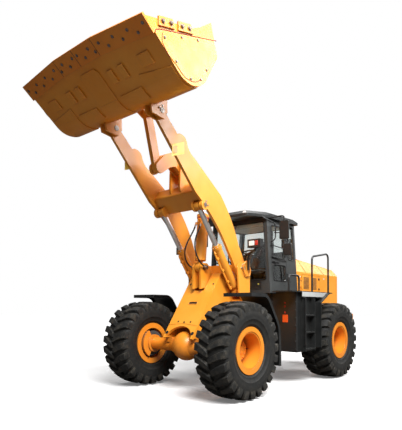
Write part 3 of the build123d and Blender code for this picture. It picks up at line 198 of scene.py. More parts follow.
def joined(*shapes):
    """One shape from several: the points end to end, the faces counted on by the points before them."""
    points, faces, count = [], [], 0
    for shape_points, shape_faces in shapes:
        points.append(shape_points)
        faces += [[k + count for k in f] for f in shape_faces]
        count += len(shape_points)
    return np.concatenate(points), faces


def facing(ways, ups=WAY_Z):
    """Turns whose third axis is each way (n, 3), and whose second axis is as near to ups as it can be."""
    z = np.atleast_2d(ways).astype(float)
    z = z / np.linalg.norm(z, axis=1, keepdims=True)
    y = np.broadcast_to(np.asarray(ups, float), z.shape)
    y = np.where(np.abs((y * z).sum(1, keepdims=True)) > 0.99, np.array([0.0, 1.0, 0.001]), y)
    x = np.cross(y, z)
    x = x / np.linalg.norm(x, axis=1, keepdims=True)
    return np.stack([x, np.cross(z, x), z], -1)


def copies(shape, spots, ways=None, ups=WAY_Z):
    """The shape repeated: point = spot + turn x point, for every spot (n, 3) at once. Its Z is turned to each way."""
    points, faces = shape
    spots = np.atleast_2d(spots)
    turns = np.eye(3)[None] if ways is None else facing(ways, ups)
    moved = spots[:, None, :] + np.einsum("nij,pj->npi", turns, points)
    return moved.reshape(-1, 3), repeated(faces, len(points), len(spots))


def other_side(shape):
    """The shape's twin on the other side: x turned to minus x, and each face read backwards."""
    points, faces = shape
    return points * TWIN, [f[::-1] for f in faces]


def mirrored(*shapes):
    """The shapes together with their twins on the other side."""
    shape = joined(*shapes)
    return joined(shape, other_side(shape))


# %% Turned and swept forms
def full_turn(count):
    """Angles evenly round a circle, from 0."""
    return np.linspace(0, 2 * np.pi, count, endpoint=False)


def turned(profile, sides):
    """A lathe form about Z from (radius, height) pairs: x = r cos t, y = r sin t, z = h. Radius 0 closes an end."""
    r, h = np.array(profile, float).T
    t = full_turn(sides)
    ring = np.stack([np.cos(t), np.sin(t)], -1)
    heights = np.broadcast_to(h[:, None, None], (len(r), sides, 1))
    points = np.concatenate([r[:, None, None] * ring[None], heights], -1)
    return points.reshape(-1, 3), grid_faces(len(r), sides)


def smooth_path(points, steps):
    """A curve through the points: each span is the cubic whose slope at a point is half the chord across it."""
    p = np.array(points, float)
    p = np.concatenate([[2 * p[0] - p[1]], p, [2 * p[-1] - p[-2]]])
    t = np.linspace(0, 1, steps, endpoint=False)[None, :, None]
    a, b, c, d = (p[k:len(p) - 3 + k, None, :] for k in range(4))
    spans = 0.5 * (2 * b + (c - a) * t + (2 * a - 5 * b + 4 * c - d) * t ** 2 + (3 * b - a - 3 * c + d) * t ** 3)
    return np.concatenate([spans.reshape(-1, 3), p[-2:-1]])


def swept(path, radius, sides, around=WAY_X, closed=False):
    """A round bar along a path: each ring is the point plus radius (cos t side + sin t up), both square to it."""
    path = np.array(path, float)
    way = np.roll(path, -1, 0) - np.roll(path, 1, 0) if closed else np.gradient(path, axis=0)
    way /= np.linalg.norm(way, axis=1, keepdims=True)
    side = np.cross(way, np.asarray(around, float))
    side /= np.linalg.norm(side, axis=1, keepdims=True)
    rise = np.cross(way, side)
    t = full_turn(sides)[None, :, None]
    r = np.broadcast_to(np.asarray(radius, float), (len(path),))[:, None, None]
    rings = path[:, None] + r * (np.cos(t) * side[:, None] + np.sin(t) * rise[:, None])
    ends = [] if closed else end_faces(len(path) * sides, sides)
    return rings.reshape(-1, 3), grid_faces(len(path), sides, closed) + ends


def tube(points, radius, sides=8, steps=6):
    """A bent pipe along a smooth path through points of the frame."""
    return swept(smooth_path(points, steps), radius, sides)


def bar(points, radius=0.010):
    """A bent round bar through points in machine millimetres."""
    return swept(smooth_path(places(*points), 5), radius, 8, (0.3, 0.2, 0.9))


# %% Plates and blocks
def rectangle(x0, x1, y0, y1):
    """Outline of a rectangle with sharp corners."""
    return [(x0, y0), (x1, y0), (x1, y1), (x0, y1)]


def rounded(x0, x1, y0, y1, radius, steps=5):
    """Outline of a rectangle with quarter-circle corners: each is its centre plus radius (cos t, sin t)."""
    centres = rectangle(x0 + radius, x1 - radius, y0 + radius, y1 - radius)
    quarters = np.linspace(0, np.pi / 2, steps) + np.arange(4)[:, None] * np.pi / 2
    return np.concatenate([np.array(centre) + radius * np.stack([np.cos(t), np.sin(t)], -1)
                           for centre, t in zip(centres[2:] + centres[:2], quarters)])


def plate(outline, low, high, edge=0.003):
    """A flat plate in XY with eased edges: four copies of the outline, the first and last drawn in by the edge."""
    o = np.array(outline, float)
    ahead, behind = np.roll(o, -1, 0) - o, o - np.roll(o, 1, 0)
    ahead /= np.linalg.norm(ahead, axis=1, keepdims=True)
    behind /= np.linalg.norm(behind, axis=1, keepdims=True)
    turn = np.sign((o[:, 0] * np.roll(o[:, 1], -1) - o[:, 1] * np.roll(o[:, 0], -1)).sum())
    inward = turn * np.stack([-(ahead + behind)[:, 1], (ahead + behind)[:, 0]], -1)
    inward /= np.maximum((inward ** 2).sum(1, keepdims=True) / 2, 0.3)
    rings = [np.column_stack([o + inward * e, np.full(len(o), h)])
             for e, h in ((edge, low), (0, low + edge), (0, high - edge), (edge, high))]
    return np.concatenate(rings), grid_faces(4, len(o)) + end_faces(4 * len(o), len(o))


def on_side(shape):
    """A plate drawn in (y, z) and stood up, its thickness along X."""
    points, faces = shape
    return points[:, [2, 0, 1]], faces


def plate_x(outline, x0, x1):
    """A plate with an outline in (y, z), between two x, all in machine millimetres."""
    return on_side(plate(side_places(0, outline)[:, 1:], x0 / 1000, x1 / 1000))


def plate_y(outline, y0, y1, edge=0.003):
    """A plate with an outline in (x, z), between two y, all in machine millimetres."""
    points, faces = plate(np.array(outline) / 1000, at(0, y0, 0)[1], at(0, y1, 0)[1], edge)
    return points[:, [0, 2, 1]], faces


def block(x0, x1, y0, y1, z0, z1, edge):
    """An eased block between two x, two y and two z values of the frame."""
    return plate(rectangle(x0, x1, y0, y1), z0, z1, edge)


def bricks(*rows):
    """Eased blocks, each given as x0, x1, y0, y1, z0, z1 in machine millimetres and then its edge in metres."""
    blocks = []
    for x0, x1, y0, y1, z0, z1, edge in rows:
        low, high = at(x0, y0, z0), at(x1, y1, z1)
        blocks.append(block(low[0], high[0], low[1], high[1], low[2], high[2], edge))
    return joined(*blocks)


# %% [markdown]
# ## Finishes
# A finish is a small network of nodes. Noise in Object coordinates gives slow colour change, fine speckle and dust,
# and noise of its own moves roughness and bump. Painted shade darkens the corners, which the Ambient Occlusion node
# finds.


# %% Node helpers
def feed(tree, socket, value):
    """Gives a socket a link, a colour with its opacity added, or a plain value."""
    if isinstance(value, bpy.types.NodeSocket):
        tree.links.new(value, socket)
    else:
        socket.default_value = (*value, 1.0) if socket.type == "RGBA" else value


def put_node(tree, kind, inputs=None, **settings):
    """Makes a shader node: its settings first, then its inputs by name or number. Gives back its outputs."""
    node = tree.nodes.new("ShaderNode" + kind)
    for name, value in settings.items():
        setattr(node, name, value)
    for name, value in (inputs or {}).items():
        feed(tree, node.inputs[name], value)
    return node.outputs


class Finish:
    """A material under construction: its node tree, its shader and a few shortcuts that give back a socket."""

    def __init__(self, name):
        self.material = bpy.data.materials.new(name)
        self.material.use_nodes = True
        self.tree = self.material.node_tree
        self.shader = self.tree.nodes["Principled BSDF"]
        self.place = put_node(self.tree, "TexCoord")["Object"]

    def noise(self, scale, detail, rough=0.6, stretch=None):
        """Noise in Object coordinates; stretch scales the three axes."""
        place = self.place
        if stretch:
            place = put_node(self.tree, "Mapping", {"Vector": place, "Scale": stretch})["Vector"]
        inputs = {"Vector": place, "Scale": scale, "Detail": detail, "Roughness": rough}
        return put_node(self.tree, "TexNoise", inputs)["Fac"]

    def ramp(self, source, low, high, from_value=0.0, to_value=1.0):
        """A straight ramp: from_value below low, to_value above high."""
        inputs = {"Value": source, "From Min": low, "From Max": high, "To Min": from_value, "To Max": to_value}
        return put_node(self.tree, "MapRange", inputs)["Result"]

    def times(self, a, b, operation="MULTIPLY"):
        """Two values multiplied, or joined by another operation."""
        return put_node(self.tree, "Math", {0: a, 1: b}, operation=operation)[0]

    def blend(self, share, a, b):
        """Colour a where share is 0 and colour b where it is 1."""
        return put_node(self.tree, "Mix", {"Factor": share, 6: a, 7: b}, data_type="RGBA")[2]

    def corners(self, distance):
        """1 in tight corners and 0 in the open, from the Ambient Occlusion node: where painted shade is laid."""
        open_share = put_node(self.tree, "AmbientOcclusion", {"Distance": distance}, samples=6)["AO"]
        return self.ramp(open_share, 0.45, 0.95, 1.0, 0.0)

    def bump(self, height, strength, distance):
        """Height drives the shader's normal."""
        inputs = {"Height": height, "Strength": strength, "Distance": distance}
        self.use(Normal=put_node(self.tree, "Bump", inputs)["Normal"])

    def use(self, **sockets):
        """Sets or links the shader's sockets, named with underscores for spaces."""
        for name, value in sockets.items():
            feed(self.tree, self.shader.inputs[name.replace("_", " ")], value)
        return self.material


# %% [markdown]
# ### Paint
# Machine enamel is a bright pigment under a thin clear film. Large slow noise stands for sun fade, small noise for
# orange peel and stone chips, and a warm brown film of grime lies in streaks where mud has run down. The same brown
# is laid in corners as painted shade.


# %% Enamel
def enamel(name, colour, faded, grime_and_shade=(0.16, 0.08, 0.03), gloss=0.38, dirt_and_shade=0.55, film=0.3):
    """Enamel: colour to faded by slow noise, with grime in streaks, painted shade in corners, and sparse dark chips.
    """
    f = Finish(name)
    slow = f.ramp(f.noise(1.3, 3.0), 0.35, 0.7)
    base = f.blend(slow, colour, faded)
    streaks = f.ramp(f.noise(3.0, 6.0, 0.7, stretch=(6.0, 6.0, 0.8)), 0.56, 0.78, 0.0, 0.35 * dirt_and_shade)
    base = f.blend(streaks, base, grime_and_shade)
    # Painted shade: the grime's brown laid into the corners that the Ambient Occlusion node finds, patchy by noise.
    corner = f.times(f.corners(0.10), f.ramp(f.noise(7.0, 5.0), 0.3, 0.75, 0.25, 1.0))
    base = f.blend(f.times(corner, dirt_and_shade), base, grime_and_shade)
    chips = f.ramp(f.noise(55.0, 2.0, 0.5), 0.74, 0.78, 0.0, 0.6 * dirt_and_shade)
    base = f.blend(chips, base, tuple(c * 0.35 for c in colour))
    peel = f.noise(160.0, 2.0)
    f.bump(f.times(peel, chips, "SUBTRACT"), 0.05, 0.001)
    rough = f.ramp(f.noise(5.0, 5.0), 0.3, 0.7, gloss - 0.08, gloss + 0.14)
    return f.use(Base_Color=base, Roughness=rough, Coat_Weight=film, Coat_Roughness=0.18, Specular_IOR_Level=0.5)


yellow = enamel("machine_yellow", (0.86, 0.31, 0.020), (0.90, 0.37, 0.038), dirt_and_shade=0.4)
deep_yellow = enamel("axle_yellow", (0.84, 0.25, 0.014), (0.88, 0.30, 0.025), dirt_and_shade=0.7)
cab_grey = enamel("cab_grey", (0.036, 0.039, 0.038), (0.052, 0.055, 0.054), (0.028, 0.026, 0.022), 0.34, 0.4)
black_paint = enamel("frame_black", (0.010, 0.011, 0.011), (0.017, 0.018, 0.018), (0.026, 0.024, 0.020), 0.40, 0.4)
red_paint = enamel("red_paint", (0.52, 0.035, 0.018), (0.60, 0.06, 0.03))
light_grey = enamel("step_grey", (0.42, 0.43, 0.42), (0.55, 0.56, 0.55), (0.20, 0.18, 0.15), 0.45, 0.5)
iron = enamel("engine_iron", (0.05, 0.05, 0.052), (0.08, 0.078, 0.075), (0.03, 0.025, 0.02), 0.6, 0.9, 0.0)


# %% Rubber and bare metal
def tyre_rubber(name, dust_share):
    """Rubber: near black, with tan dust and paler scuffs where noise is high."""
    f = Finish(name)
    base = f.blend(f.ramp(f.noise(4.0, 6.0), 0.3, 0.7), (0.0075, 0.008, 0.0078), (0.014, 0.014, 0.013))
    dust = f.ramp(f.noise(9.0, 8.0, 0.7), 0.46, 0.72, 0.0, dust_share)
    base = f.blend(dust, base, (0.10, 0.085, 0.062))
    scuffs = f.ramp(f.noise(40.0, 4.0, 0.7), 0.60, 0.72, 0.0, 0.5 * dust_share)
    base = f.blend(scuffs, base, (0.15, 0.13, 0.10))
    f.bump(f.noise(90.0, 5.0, 0.7), 0.22, 0.003)
    rough = f.ramp(f.noise(12.0, 4.0), 0.3, 0.7, 0.55, 0.82)
    return f.use(Base_Color=base, Roughness=rough, Specular_IOR_Level=0.42)


def bare_metal(name, colour, tarnish, rough):
    """Metal: colour with tarnish by noise, rougher where it is tarnished, and fine scratches in the bump."""
    f = Finish(name)
    worn = f.ramp(f.noise(14.0, 6.0, 0.65, stretch=(1.0, 1.0, 1.0)), 0.38, 0.7)
    base = f.blend(worn, colour, tarnish)
    f.bump(f.noise(120.0, 3.0, 0.6, stretch=(1.0, 1.0, 1.0)), 0.08, 0.001)
    return f.use(Base_Color=base, Metallic=1.0, Roughness=f.ramp(worn, 0.0, 1.0, rough, rough + 0.25))


tread_rubber = tyre_rubber("tread_rubber", 0.62)
wall_rubber = tyre_rubber("sidewall_rubber", 0.16)
chrome = bare_metal("chromed_rod", (0.88, 0.88, 0.88), (0.76, 0.76, 0.76), 0.27)
steel = bare_metal("worn_steel", (0.30, 0.28, 0.26), (0.17, 0.13, 0.10), 0.38)
zinc = bare_metal("zinc_fittings", (0.42, 0.41, 0.38), (0.26, 0.24, 0.21), 0.36)
mirror_glass = bare_metal("mirror_glass", (0.72, 0.74, 0.75), (0.66, 0.68, 0.69), 0.04)


# %% Glass, plastic and seat cloth
def window_glass(name, tint):
    """Toughened glass: clear and smooth, faintly tinted, with a film of dust that shows as darker patches."""
    f = Finish(name)
    dust = f.ramp(f.noise(2.5, 6.0), 0.4, 0.8, 0.0, 0.6)
    base = f.blend(dust, tint, tuple(0.93 * c for c in tint))
    return f.use(Base_Color=base, Roughness=0.0, Transmission_Weight=1.0, IOR=1.45)


def moulded(name, colour, second, rough, grain=260.0):
    """Moulded plastic: two near colours in slow patches, and a fine leather grain in the bump."""
    f = Finish(name)
    base = f.blend(f.ramp(f.noise(6.0, 4.0), 0.3, 0.7), colour, second)
    f.bump(f.noise(grain, 2.0), 0.12, 0.0012)
    return f.use(Base_Color=base, Roughness=f.ramp(f.noise(20.0, 3.0), 0.3, 0.7, rough - 0.06, rough + 0.1))


def seat_cloth(name):
    """Woven seat cloth: two crossed sets of fine waves for the threads, and slow noise for wear."""
    f = Finish(name)
    threads = {"Vector": f.place, "Scale": 95.0, "Distortion": 0.6}
    weave = f.times(*(put_node(f.tree, "TexWave", threads, bands_direction=way)["Fac"] for way in ("X", "Z")))
    base = f.blend(weave, (0.020, 0.022, 0.026), (0.060, 0.062, 0.070))
    base = f.blend(f.ramp(f.noise(5.0, 5.0), 0.5, 0.8, 0.0, 0.4), base, (0.10, 0.09, 0.08))
    f.bump(weave, 0.35, 0.0015)
    return f.use(Base_Color=base, Roughness=0.9, Sheen_Weight=0.3)


glass = window_glass("cab_glass", (0.80, 0.84, 0.83))
black_plastic = moulded("black_plastic", (0.010, 0.011, 0.011), (0.018, 0.018, 0.018), 0.42)
hose_rubber = moulded("hose_rubber", (0.008, 0.008, 0.009), (0.016, 0.016, 0.016), 0.38, 500.0)
seal_rubber = moulded("seal_rubber", (0.006, 0.006, 0.006), (0.012, 0.012, 0.012), 0.6, 400.0)
seam_red = moulded("seam_red", (0.30, 0.045, 0.020), (0.36, 0.07, 0.03), 0.6, 300.0)
lens_clear = moulded("clear_lens", (0.80, 0.80, 0.78), (0.92, 0.92, 0.90), 0.16, 90.0)
lens_amber = moulded("amber_lens", (0.80, 0.085, 0.012), (0.90, 0.12, 0.02), 0.2, 90.0)
lens_red = moulded("red_reflector", (0.45, 0.02, 0.01), (0.55, 0.04, 0.02), 0.25, 90.0)
plate_yellow = moulded("blank_plate", (0.90, 0.70, 0.08), (0.93, 0.76, 0.14), 0.35, 200.0)
white_plate = moulded("white_plate", (0.82, 0.82, 0.80), (0.90, 0.90, 0.88), 0.35, 200.0)
louvre_black = moulded("louvre_black", (0.016, 0.016, 0.016), (0.026, 0.026, 0.025), 0.5, 300.0)
beige_trim = moulded("beige_trim", (0.50, 0.44, 0.33), (0.58, 0.51, 0.40), 0.6, 500.0)
cloth = seat_cloth("seat_cloth")
for hose_curve in tilt_hoses:
    hose_curve.data.materials.append(hose_rubber)
print("finishes:", len(bpy.data.materials))

# %% [markdown]
# ### Dressing the CAD nodes
# Each CAD node keeps its mesh and only gets a finish in its material slot. A table of finish to nodes keeps this in
# one place, and the print at the end shows whether a node was forgotten.

# %% Finishes on the CAD nodes
CORNERS = ("front_left", "front_right", "rear_left", "rear_right")
finish_of = {
    yellow: ["boom", "bucket", "front_frame", "hood", "hood_door_left", "hood_door_right", "rocker", "lift_barrels",
             "tilt_barrel", "steering_barrel_left", "steering_barrel_right", "tilt_link"],
    deep_yellow: ["front_axle", "rear_axle", "counterweight", "cutting_edge"] + ["rim_" + c for c in CORNERS],
    cab_grey: ["cab_frame", "cab_door"],
    black_paint: ["cab_roof", "decks", "front_fenders", "handrails", "ladders", "rear_fenders", "rear_frame",
                  "rear_grille", "stacks", "tanks"],
    chrome: ["lift_rods", "tilt_rod", "steering_rod_left", "steering_rod_right"],
    steel: ["bucket_pins", "link_pin", "rocker_pin", "tilt_base_pin"],
    iron: ["engine_block"],
    glass: ["cab_glass", "cab_door_glass"],
    hose_rubber: ["tilt_hoses"],
    black_plastic: ["headlamps", "mirrors", "steering_column"],
    cloth: ["operator_seat"],
    wall_rubber: ["tyre_" + c for c in CORNERS],
}
for material, names in finish_of.items():
    for node_name in names:
        nodes[node_name].data.materials.clear()
        nodes[node_name].data.materials.append(material)
print("nodes without a finish:", sorted(set(nodes) - set(sum(finish_of.values(), []))))


# %% Second finishes: painted eyes on the plated rods, brake discs of dark iron that is partly painted shade, and painted shade on the insides of the rims
def second_finish(node_name, chosen, material):
    """Gives a second finish to the faces of a CAD node whose centres (n, 3) the rule chosen picks."""
    mesh = nodes[node_name].data
    centres = np.empty(len(mesh.polygons) * 3)
    mesh.polygons.foreach_get("center", centres)
    picked = chosen(centres.reshape(-1, 3))
    mesh.materials.append(material)
    mesh.polygons.foreach_set("material_index", picked.astype(np.int32))
    return int(picked.sum())


def near_eye(pin, reach):
    """A rule: faces within reach of a pin, measured in (y, z)."""
    _, y, z = at(0, *pin)
    return lambda c: np.hypot(c[:, 1] - y, c[:, 2] - z) < reach


def between_x(low, high):
    """A rule: faces that lie from low to high out from the middle, on either side."""
    return lambda c: (np.abs(c[:, 0]) > low) & (np.abs(c[:, 0]) < high)


painted = [second_finish("lift_rods", near_eye(LIFT_EYE_PIN, 0.118), yellow),
           second_finish("tilt_rod", near_eye(TILT_EYE_PIN, 0.135), yellow)]
# The brake discs get dark iron: bare metal, made darker as painted shade for the shadow inside the wheels.
painted += [second_finish(axle, between_x(0.888, 0.912), iron) for axle in ("front_axle", "rear_axle")]
# Painted shade: the rims' inside faces are given dark iron for the shade between rim and tyre.
painted += [second_finish("rim_" + corner, between_x(1.050, 1.062), iron) for corner in CORNERS]
print("painted faces:", painted)

# %% [markdown]
# ### Making a piece
# Every added piece rides on a CAD body.

# %% Making a piece
DOUBLES = 1e-5     # points closer than this are one
slot_of = {yellow: "yellow_paint", deep_yellow: "yellow_paint", black_paint: "black_paint", steel: "worn_steel",
           tread_rubber: "tyre_rubber", cloth: "seat_fabric"}


def piece(name, shape, material, body="rear_frame", smooth=35, slot=None):
    """A mesh object from one shape, its doubles merged, normals outward. Edges sharper than smooth degrees stay
    crisp. The slot argument is not used."""
    points, faces = shape
    mesh = bpy.data.meshes.new(name)
    mesh.from_pydata(points.tolist(), [], faces)
    work = bmesh.new()
    work.from_mesh(mesh)
    bmesh.ops.remove_doubles(work, verts=work.verts, dist=DOUBLES)
    bmesh.ops.recalc_face_normals(work, faces=work.faces)
    for f in work.faces:
        f.smooth = True
    for e in work.edges:
        e.smooth = len(e.link_faces) != 2 or e.calc_face_angle(0) <= math.radians(smooth)
    work.to_mesh(mesh)
    work.free()
    mesh.materials.append(material)
    obj = bpy.data.objects.new(name, mesh)
    bpy.context.scene.collection.objects.link(obj)
    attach(obj, body)
    slot = slot_of.get(material) if slot is None else slot
    return obj


# %% [markdown]
# ## Tyres
# A loader tyre has deep chevron lugs: bars that start square to the edge at the shoulder and lean forward towards
# the middle, the left and right rows half a pitch apart. The carcass is a lathe form. Each lug is a strip of
# cross-sections laid on the carcass, so that it bends over the shoulder as moulded rubber does.

# %% Tyre shape
SEAT_R, HEEL_R = 0.3183, 0.389   # where the tyre sits on the rim
LUGS = 24                        # to each side
ROUND = 104                      # points round the carcass


def carcass():
    """Lathe form about X of the tyre under its lugs: crown, shoulder, bulged wall with a rib, and bead."""
    side = [(0.0, 0.752), (0.10, 0.750), (0.18, 0.743), (0.235, 0.730), (0.268, 0.706), (0.284, 0.68), (0.293, 0.64),
            (0.298, 0.60), (0.297, 0.56), (0.290, 0.52), (0.2915, 0.512), (0.2895, 0.504), (0.284, 0.500),
            (0.274, 0.465), (0.262, 0.438), (0.2625, 0.432), (0.2595, 0.426), (0.2555, 0.424), (0.243, 0.402),
            (0.2277, HEEL_R), (0.2277, SEAT_R)]
    half = np.array(side)[:, ::-1]
    profile = np.concatenate([half, (half * [1, -1])[-1:0:-1]])
    points, _ = turned(profile, ROUND)
    return points[:, [2, 0, 1]], grid_faces(len(profile), ROUND, wrap_rows=True)


def lugs():
    """All the lugs at once: along the bar s, across its section k, and round the wheel n.

    The bar runs from the middle over the shoulder and stops short there. Its leaning line is lead = 0.13 (1 - s)^1.5,
    its half width grows towards the shoulder, and its top is the tyre's full radius less the crown's fall."""
    s = np.array([0, 0.08, 0.2, 0.34, 0.48, 0.6, 0.7, 0.8, 0.9, 1.0])
    bends = [0, 0.6, 0.8, 0.9, 1]
    x = np.interp(s, bends, [0.010, 0.205, 0.268, 0.288, 0.2955])
    foot = np.interp(s, bends, [0.748, 0.735, 0.700, 0.672, 0.640])
    top = np.interp(s, [0, 0.48, 0.6, 0.8, 0.9, 1], [TYRE_R, TYRE_R - 0.004, TYRE_R - 0.010, 0.768, 0.733, 0.684])
    out = np.interp(s, bends, [0.0, 0.004, 0.024, 0.0115, 0.0042])
    lead = 0.130 * (1 - s) ** 1.5
    half_top = np.interp(s, [0, 0.1, 0.6, 0.9, 1], [0.036, 0.050, 0.059, 0.066, 0.066])
    half_foot = half_top + np.interp(s, [0, 0.8, 1], [0.013, 0.011, 0.006])
    across = np.stack([-half_foot, -half_top, -half_top + 0.008, half_top - 0.008, half_top, half_foot], -1)
    height = np.array([0.0, 0.86, 1.0, 1.0, 0.86, 0.0])
    radius = foot[:, None] + (top - foot)[:, None] * height
    place = x[:, None] + out[:, None] * height
    pitch = 2 * np.pi / LUGS
    angle = (across + lead[:, None]) / TYRE_R
    quads = grid_faces(*angle.shape) + end_faces(angle.size, angle.shape[1])
    shapes = []
    for sign, start in ((1.0, 0.0), (-1.0, pitch / 2)):
        turn = angle[None] + start + pitch * np.arange(LUGS)[:, None, None]
        full = np.broadcast_to(radius, turn.shape)
        points = np.stack([np.broadcast_to(sign * place, turn.shape), -full * np.sin(turn), full * np.cos(turn)], -1)
        shapes.append((points.reshape(-1, 3), repeated(quads, angle.size, LUGS)))
    return joined(*shapes)


carcass_shape, lug_shape = carcass(), lugs()
print("lugs:", 2 * LUGS, "with", len(lug_shape[0]), "points")

# %% Four tyres
WHEELS = list(zip(CORNERS, (1, -1, 1, -1), (AXLE_Y, AXLE_Y, REAR_Y, REAR_Y)))
for corner, side, wheel_y in WHEELS:
    centre = np.array([side * WHEEL_X, wheel_y, AXLE_Z])
    wall = piece("carcass_" + corner, copies(carcass_shape, centre), wall_rubber, corner + "_wheel", 40)
    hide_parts("tyre_" + corner)
    piece("tread_" + corner, copies(lug_shape, centre), tread_rubber, corner + "_wheel", 30)

# %% [markdown]
# ## Bolts
# Bolts are what give a big machine its scale. One bolt is a low-sided lathe form, a washer with a six-sided head on
# it, and it is copied with a turn for each place. Hundreds of them stay cheap because each has few faces.


# %% Bolt shape
def bolt(size, tall):
    """A hexagon head of the given width across corners on a round washer, standing along Z."""
    washer = turned([(0, 0), (size * 0.62, 0), (size * 0.62, size * 0.10), (0, size * 0.10)], 14)
    head = turned([(0, size * 0.08), (size * 0.5, size * 0.08), (size * 0.5, size * (tall - 0.08)),
                   (size * 0.42, size * tall), (0, size * tall)], 6)
    return joined(washer, head)


def bolts(name, size, spots, way, material, body="rear_frame", tall=0.5, both=False, slot=None):
    """One piece of many bolts: each at a spot, standing the way given, and with both on the other side too."""
    shape = copies(bolt(size, tall), spots, way)
    return piece(name, mirrored(shape) if both else shape, material, body, 30, slot)


def ring_of(count, radius, x, y, z):
    """Places evenly round a circle about an axis along X."""
    t = full_turn(count)
    return np.stack([np.full(count, x), y + radius * np.cos(t), z + radius * np.sin(t)], -1)


# %% Wheel nuts, drum bolts and hub cap bolts
DISC_FACE, DRUM_END, CAP_END = -0.060, 0.032, 0.052    # how far out from the wheel's middle plane
for corner, side, wheel_y in WHEELS:
    for label, size, count, radius, out in (("wheel_nuts_", 0.046, 16, 0.225, DISC_FACE),
                                            ("drum_bolts_", 0.028, 12, 0.138, DRUM_END),
                                            ("cap_bolts_", 0.016, 3, 0.042, CAP_END)):
        spots = ring_of(count, radius, side * (WHEEL_X + out), wheel_y, AXLE_Z)
        bolts(label + corner, size, spots, side * WAY_X, deep_yellow, corner + "_wheel")
    valve = [(side * (WHEEL_X - 0.05), wheel_y + 0.262, AXLE_Z), (side * (WHEEL_X + 0.01), wheel_y + 0.272, AXLE_Z)]
    piece("valve_" + corner, swept(valve, [0.009, 0.006], 8, WAY_Z), zinc, corner + "_wheel", 40)

# %% [markdown]
# ## The bucket's own frame
# The bucket is tipped back in its rest pose, so its details are placed in its own frame: x across, a forward along
# its floor from the hinge pin, and b up from the floor. One function turns (x, a, b) into the shared frame.

# %% Bucket frame
HINGE = at(0, *HINGE_PIN)
TIPPED = math.radians(38.5)
AHEAD = np.array([0.0, -math.cos(TIPPED), math.sin(TIPPED)])
ABOVE = np.array([0.0, math.sin(TIPPED), math.cos(TIPPED)])
FLOOR_B = -0.235                 # the floor's lower face
UNDERSIDE = FLOOR_B - 0.0005     # a pad starts half a millimetre below it


def in_bucket(points):
    """(x, a, b) to the frame: the hinge pin, plus x across, plus a times the way ahead, plus b times the way up."""
    x, a, b = np.asarray(points, float).T[:, :, None]
    return HINGE + x * WAY_X + a * AHEAD + b * ABOVE


def bucket_plate(outline, low, high, edge=0.004):
    """A plate drawn in (x, a), its thickness along b from low to high."""
    points, faces = plate(outline, low, high, edge)
    return in_bucket(points), faces


edge_low, edge_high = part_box("cutting_edge")
print("bucket", round(edge_high.x - edge_low.x, 3), "m wide, edge at y", round(edge_low.y, 3))

# %% [markdown]
# ### Blade bolts, wear plates and side cutters
# Plough bolts hold the blades in two staggered rows. Under the floor there are welded wear pads and long skids, and
# each upper side edge carries two bolted cutters. All of them are thin plates with eased edges.

# %% Blade bolts: the blade's edge is straight in the middle and falls back from the knee to its end
KNEE_X, EDGE_A, EDGE_FALL = 0.46, 1.359, 0.080
row_x = np.array([0.06, 0.19, 0.32, 0.42, 0.56, 0.70, 0.84, 0.98, 1.12, 1.26, 1.40])
edge_a = np.where(row_x < KNEE_X, EDGE_A, EDGE_A - (row_x - KNEE_X) / (edge_high.x - KNEE_X) * EDGE_FALL)
stagger = np.where(np.arange(len(row_x)) % 2 == 0, 0.105, 0.185)
spots = in_bucket(np.stack([row_x, edge_a - stagger, np.full(len(row_x), FLOOR_B - 0.0345)], -1))
bolts("blade_bolts", 0.036, spots, -ABOVE, steel, "bucket", 0.42, both=True)

# %% Wear pads under the floor: bars (x0, x1, a0, a1, thickness), two shaped plates and a strap in the middle
bars = [(0.350, 0.455, 0.690, 0.888, 0.030), (0.585, 0.695, 0.690, 0.888, 0.030),
        (1.005, 1.215, 0.705, 0.885, 0.022), (0.300, 0.770, 0.470, 0.500, 0.024)]
pads = [bucket_plate(rectangle(*sides), UNDERSIDE - thick, UNDERSIDE, 0.007) for *sides, thick in bars]
outer = [(0.845, 0.478), (1.430, 0.478), (1.430, 0.575), (0.845, 0.655)]
pads.append(bucket_plate(outer, UNDERSIDE - 0.014, UNDERSIDE))
strap = [(-0.205, 0.478), (0.205, 0.478), (0.205, 0.930), (0.150, 1.000), (-0.150, 1.000), (-0.205, 0.930)]
strap_plate = bucket_plate(strap, UNDERSIDE - 0.018, UNDERSIDE, 0.006)
piece("wear_pads", joined(mirrored(*pads), strap_plate), yellow, "bucket", 30)


# %% Skids round the heel
HEEL_A, HEEL_B, BEND_R = 0.480, 0.165, 0.400     # centre and radius of the floor's bend
STEPS = 15                                       # cross-sections of a strip


def heel_strip(x0, x1, from_degrees, thick):
    """A strip bent round the heel down to the floor: (a, b) = centre + radius (cos t, sin t), between two radii."""
    t = np.radians(np.linspace(from_degrees, 270, STEPS))
    section = rectangle(x0, x1, BEND_R - 0.001, BEND_R + thick)
    rings = [np.stack([np.full(STEPS, x), HEEL_A + r * np.cos(t), HEEL_B + r * np.sin(t)], -1) for x, r in section]
    return in_bucket(np.stack(rings, 1).reshape(-1, 3)), grid_faces(STEPS, 4) + end_faces(STEPS * 4, 4)


strips = mirrored(heel_strip(0.300, 0.770, 243, 0.024), heel_strip(0.845, 1.430, 205, 0.014))
piece("heel_skids", joined(strips, heel_strip(-0.205, 0.205, 212, 0.018)), yellow, "bucket", 40)

